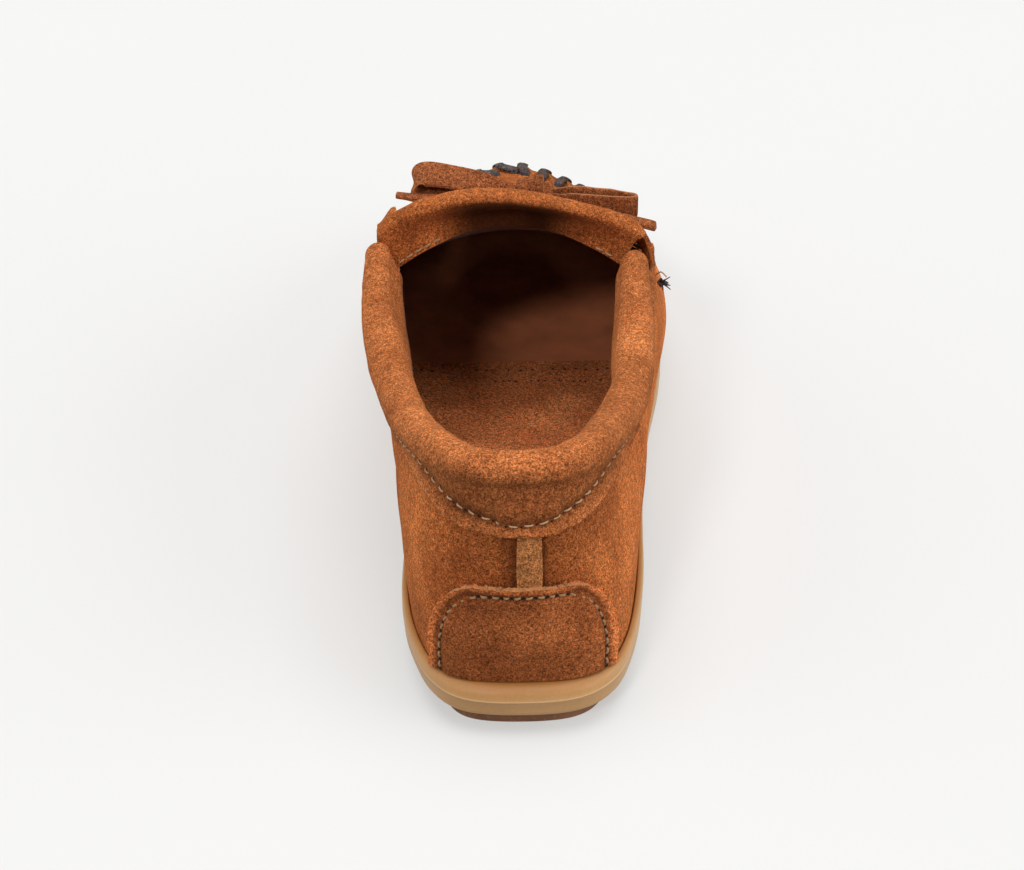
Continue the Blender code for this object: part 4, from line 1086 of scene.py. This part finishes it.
def make_kiltie():
    """Suede that stands at the throat, folds forward and ends in a fringe; parted where the fold begins."""
    columns = STRIPS * PER_STRIP + 1
    share = np.linspace(0, 1, columns)
    band_ways = np.concatenate([np.linspace(-1, -0.14, 26), np.linspace(-0.12, 0.0, 8, endpoint=False),
                                np.linspace(0.0, FRINGE_WAY, 26)])
    points = [kiltie_sheet(share[None], band_ways[:, None])]
    faces = grid_faces(len(band_ways), columns)
    strip_ways = np.linspace(FRINGE_WAY, 1.0, 34)
    start = len(band_ways) * columns
    # Painted shade: the lower middle of the standing band, in the hollow under the overhanging fold, is
    # darkened almost to black.
    under = 1 - smooth(-0.5, -0.2, band_ways)
    middle = smooth(0.16, 0.38, share) * (1 - smooth(0.62, 0.84, share))
    tones = [-1.0 * under[:, None] * middle[None]]
    for strip in range(STRIPS):
        own = share[strip * PER_STRIP:(strip + 1) * PER_STRIP + 1]
        inner = np.linspace(-1, 1, PER_STRIP + 1)
        free = smooth(0.36, 0.46, strip_ways)[:, None]
        reach = RANDOM.uniform(0.93, 1.0)
        tip = smooth(0.80, 1.0, strip_ways)[:, None] ** 1.6
        narrow = 1 - free * 0.10 - tip * 0.12
        centre = own.mean()
        wide = (own[-1] - own[0]) / 2
        ways = FRINGE_WAY + (strip_ways - FRINGE_WAY) * reach
        ways = ways[:, None] - 0.012 * tip * inner[None] ** 2
        sway = RANDOM.uniform(-0.008, 0.008) * free * (strip_ways[:, None] - FRINGE_WAY) * 2
        grid = kiltie_sheet(centre + inner[None] * wide * narrow + sway, ways)
        curl = RANDOM.uniform(0.2, 1.6) + (7.0 if strip == 0 else 0.0)
        twist = RANDOM.uniform(-0.9, 0.9)
        grid[..., 2] += smooth(0.5, 1.0, strip_ways)[:, None] ** 2 * (curl + twist * inner[None])
        grid[..., 2] -= 0.35 * free * inner[None] ** 2
        points.append(grid)
        tones.append(np.full(grid.shape[:2], RANDOM.uniform(-0.12, 0.12)))
        faces += grid_faces(len(strip_ways), PER_STRIP + 1, start=start)
        start += grid.shape[0] * grid.shape[1]
    flat = np.concatenate([part.reshape(-1, 3) for part in points])
    tone = np.concatenate([part.ravel() for part in tones])
    flat[:, 2] += 0.30 * lattice(flat, 17.0, 61) + 0.10 * lattice(flat, 6.0, 62)
    flat[:, 1] += 0.30 * lattice(flat, 15.0, 63) * (flat[:, 1] < 90)
    tone = tone + 0.18 * lattice(flat, 13.0, 64)
    made = build("kiltie", flat, [face[::-1] for face in faces], [SUEDE_RUST, EDGE] * 2, None, tone,
                 weld=0.02)
    standing_rows = int(np.argmax(band_ways > BAND_TOP_WAY))
    paint(made, range(standing_rows * (columns - 1)), 2)
    solid(made, SUEDE, 0.3)
    bake(made)
    for face in made.data.polygons:
        beside_fold = abs(face.center.x) > 28.0 * MM and abs(face.center.y - 88.0 * MM) < 6.5 * MM
        if beside_fold and face.material_index % 2:
            face.material_index -= 1
    band = made.copy()
    band.data = made.data.copy()
    band.name = "kiltie_band"
    bpy.context.scene.collection.objects.link(band)
    keep_faces(band, lambda face: face.material_index > 1)
    keep_faces(made, lambda face: face.material_index < 2)
    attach(band, "shoe")
    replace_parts(band, "kiltie_tongue")
    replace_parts(made, "kiltie_flap")
    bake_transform(made)
    for side, low, high in (("left", 0.03, 0.22), ("right", 0.87, 0.95)):
        share = np.linspace(low, high, 60)
        line, ahead = kiltie_sheet(share, np.full(60, -0.94)), kiltie_sheet(share, np.full(60, -0.90))
        outward = unit(np.cross(np.gradient(line, axis=0), ahead - line))
        outward *= np.where(outward[:, 1:2] > 0, -1.0, 1.0)
        made, _ = stitch_row("throat_stitches_" + side, line + outward * 0.05, outward, 2.6, 0.24, CREAM)
        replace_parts(made, "throat_stitching")


def keep_faces(made, wanted):
    shape = bmesh.new()
    shape.from_mesh(made.data)
    bmesh.ops.delete(shape, geom=[face for face in shape.faces if not wanted(face)], context="FACES")
    shape.to_mesh(made.data)
    shape.free()


def bake(made):
    """Apply a piece's modifiers, so that its thickness becomes part of its mesh."""
    graph = bpy.context.evaluated_depsgraph_get()
    mesh = bpy.data.meshes.new_from_object(made.evaluated_get(graph))
    made.modifiers.clear()
    made.data = mesh


SECTION = ((-0.5, -0.3), (-0.46, -0.5), (-0.2, -0.54), (0.2, -0.54), (0.46, -0.5), (0.5, -0.3),
           (0.5, 0.3), (0.46, 0.5), (0.2, 0.54), (-0.2, 0.54), (-0.46, 0.5), (-0.5, 0.3))


def ribbon(name, knots, wides, widths, thickness, body, replaced=(), count=70, seed=0):
    """Flat suede lace along a curve, turning with its own width direction, with pale cut edges."""
    path = curve_through(knots, count)
    share = np.linspace(0, 1, count)
    at = np.linspace(0, 1, len(wides))
    wide = unit(points_at(share, at, np.asarray(wides, float)))
    width = np.interp(share, np.linspace(0, 1, len(widths)), widths)
    side, lift = path_frame(path, wide)
    section = np.array(SECTION)
    grid = (path[:, None] + side[:, None] * section[None, :, :1] * width[:, None, None]
            + lift[:, None] * section[None, :, 1:] * thickness)
    uneven = 0.22 * lattice(grid, 6.0, 70 + seed) + 0.1 * lattice(grid, 2.2, 90 + seed)
    grid += grid_normals(grid) * uneven[..., None]
    sides = len(SECTION)
    faces = grid_faces(count, sides, close_columns=True) + cap_faces(sides, 0, (count - 1) * sides)
    tone = 0.15 * lattice(grid, 6.0, 80 + seed)
    made = build(name, grid, faces, [SUEDE_LACE, LACE_EDGE], body, tone)
    paint(made, [row * sides + column for row in range(count - 1) for column in (5, 11)], 1)
    paint(made, [len(faces) - 2, len(faces) - 1], 1)
    subdivide = made.modifiers.new("smooth", "SUBSURF")
    subdivide.levels = 1
    subdivide.render_levels = 1
    if replaced:
        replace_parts(made, *replaced)
    return made


def make_bow():
    """Tied lace: two loops on edge, two tails and a wrinkled knot."""
    ribbon("loop_left", [(3.0, 100.2, 70.6), (-3.0, 100.3, 72.4), (-9.0, 100.6, 74.8), (-18.0, 101.0, 77.1),
                         (-24.4, 101.0, 77.6), (-26.2, 100.4, 75.6), (-24.8, 99.6, 72.8), (-19.0, 99.4, 72.0),
                         (-10.0, 99.6, 71.6), (1.4, 99.8, 70.6)],
           [(0, 0.45, 1), (0, 0.6, 0.7), *[(0, 1, 0.5)] * 5, (0, 0.7, 0.7)],
           (5.0, 6.8, 7.8, 8.2, 8.2, 7.8, 7.2, 5.0), 1.3, "bow_left", ("bow_loop_left",), 100, 1)
    ribbon("loop_right", [(7.2, 100.9, 70.2), (14.0, 101.7, 69.9), (25.0, 101.8, 68.8), (31.2, 101.2, 68.0),
                          (32.8, 100.1, 67.8), (31.4, 99.0, 67.7), (24.0, 98.6, 68.3), (14.0, 98.7, 69.2),
                          (7.4, 99.5, 70.0)],
           [(0, 0.2, 1), (0, 0.1, 1), (0, 0, 1), (0, 0, 1), (0, 0.1, 1), (0, 0.15, 1), (0, 0.3, 1)],
           (4.6, 6.2, 6.8, 6.6, 6.6, 6.4, 4.6), 1.3, "bow_right", ("bow_loop_right",), 90, 2)
    ribbon("tail_left", [(1.0, 97.8, 71.6), (-8.0, 96.2, 71.6), (-17.0, 95.6, 72.4), (-25.0, 95.4, 73.4),
                         (-31.6, 95.8, 74.3)],
           [(0, 0.6, 0.8), (0, 0.9, 0.4), (0, 1.0, 0.1)], (4.2, 3.6, 2.4), 1.2, "kiltie",
           ("lace_tail_left",), 50, 3)
    ribbon("tail_right", [(7.0, 96.7, 69.2), (15.0, 95.8, 68.4), (22.0, 95.6, 67.5), (30.0, 95.6, 66.0),
                          (38.2, 96.2, 63.4)],
           [(0, 0.6, 0.8), (0, 0.9, 0.4), (0, 1.0, 0.3)], (4.2, 3.8, 3.0), 1.3, "kiltie",
           ("lace_tail_right",), 50, 4)
    ribbon("knot_wrap", [(5.0, 96.6, 70.4), (4.7, 95.8, 73.6), (4.4, 97.4, 76.0), (4.4, 100.2, 76.3),
                         (4.8, 102.6, 74.2), (5.0, 103.0, 71.0)],
           [(1.0, -0.1, 0.2), (1.0, -0.1, 0.24), (1.0, 0.0, 0.2)], (6.4, 7.6, 6.4), 1.4,
           "kiltie", ("bow_knot",), 50, 5)
    ribbon("knot_core", [(-1.6, 100.0, 72.0), (1.6, 98.8, 72.6), (4.2, 98.6, 73.0), (7.2, 99.4, 72.6),
                         (9.4, 100.4, 71.2)],
           [(0, 0.7, 0.7), (0, 0.9, 0.5), (0, 0.7, 0.7)], (5.2, 6.4, 5.2), 3.4, "kiltie", (), 40, 6)


# ---- board, floor, lights and camera ----

def finish_nodes():
    for node in ("insole_board", "heel_counter"):
        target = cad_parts[node]
        target.data.materials.clear()
        target.data.materials.append(BOARD)


def make_stage():
    tree = Tree("pale_floor")
    cloud = tree.ramp(tree.noise(3.0, 2.0), 0.3, 0.7)
    floor_finish = tree.finish(tree.mix(cloud, (0.42, 0.42, 0.415), (0.43, 0.43, 0.425)), 0.95, specular=0.1,
                               Emission_Color=(1.0, 1.0, 0.985, 1.0), Emission_Strength=0.41)
    mesh = bpy.data.meshes.new("floor")
    mesh.from_pydata([(-6, -6, 0), (6, -6, 0), (6, 6, 0), (-6, 6, 0)], [], [(0, 1, 2, 3)])
    mesh.materials.append(floor_finish)
    floor = add_object("floor", mesh)
    floor.visible_diffuse = False
    world = bpy.data.worlds.new("studio")
    bpy.context.scene.world = world
    world.use_nodes = True
    background = world.node_tree.nodes["Background"]
    background.inputs["Color"].default_value = (1.0, 1.0, 1.0, 1.0)
    background.inputs["Strength"].default_value = 0.22
    for name, towards, spread, strength in (
            ("key", (0.05, 0.05, 1.0), 55, 1.85), ("right", (1.0, -0.3, 0.3), 60, 1.75),
            ("left", (-1.0, -0.1, 0.45), 60, 0.75), ("mouth", (-0.46, -1.0, 0.92), 10, 0.75)):
        lamp = bpy.data.lights.new(name, "SUN")
        lamp.angle = math.radians(spread)
        lamp.energy = strength
        made = add_object(name, lamp)
        made.location = Vector(towards)
        made.rotation_euler = Vector(towards).to_track_quat("Z", "Y").to_euler()


FOCAL_LENGTH, SENSOR_WIDTH = 66.8, 36.0
CAMERA_PLACE, CAMERA_PITCH, CAMERA_ROLL = (-0.0016, -0.362, 0.300), 33.5, -0.93


def make_camera():
    camera = add_object("camera", bpy.data.cameras.new("camera"))
    camera.data.lens = FOCAL_LENGTH
    camera.data.sensor_width = SENSOR_WIDTH
    camera.data.clip_start = 0.01
    pitch, roll = math.radians(CAMERA_PITCH), math.radians(CAMERA_ROLL)
    right = Vector((1, 0, 0))
    up = Vector((0, math.sin(pitch), math.cos(pitch)))
    side = right * math.cos(roll) + up * math.sin(roll)
    top = up * math.cos(roll) - right * math.sin(roll)
    turn = Matrix((side, top, side.cross(top))).transposed()
    camera.matrix_world = Matrix.Translation(CAMERA_PLACE) @ turn.to_4x4()
    bpy.context.scene.camera = camera


make_camera()
make_stage()
make_outsole()
make_heel_lift()
make_footbed()
make_wrap()
make_heel_strip()
make_heel_patch()
make_collar()
make_plug()
make_whip_lace()
make_kiltie()
make_bow()
finish_nodes()
bpy.context.scene.view_settings.view_transform = "Standard"
bpy.context.view_layer.update()
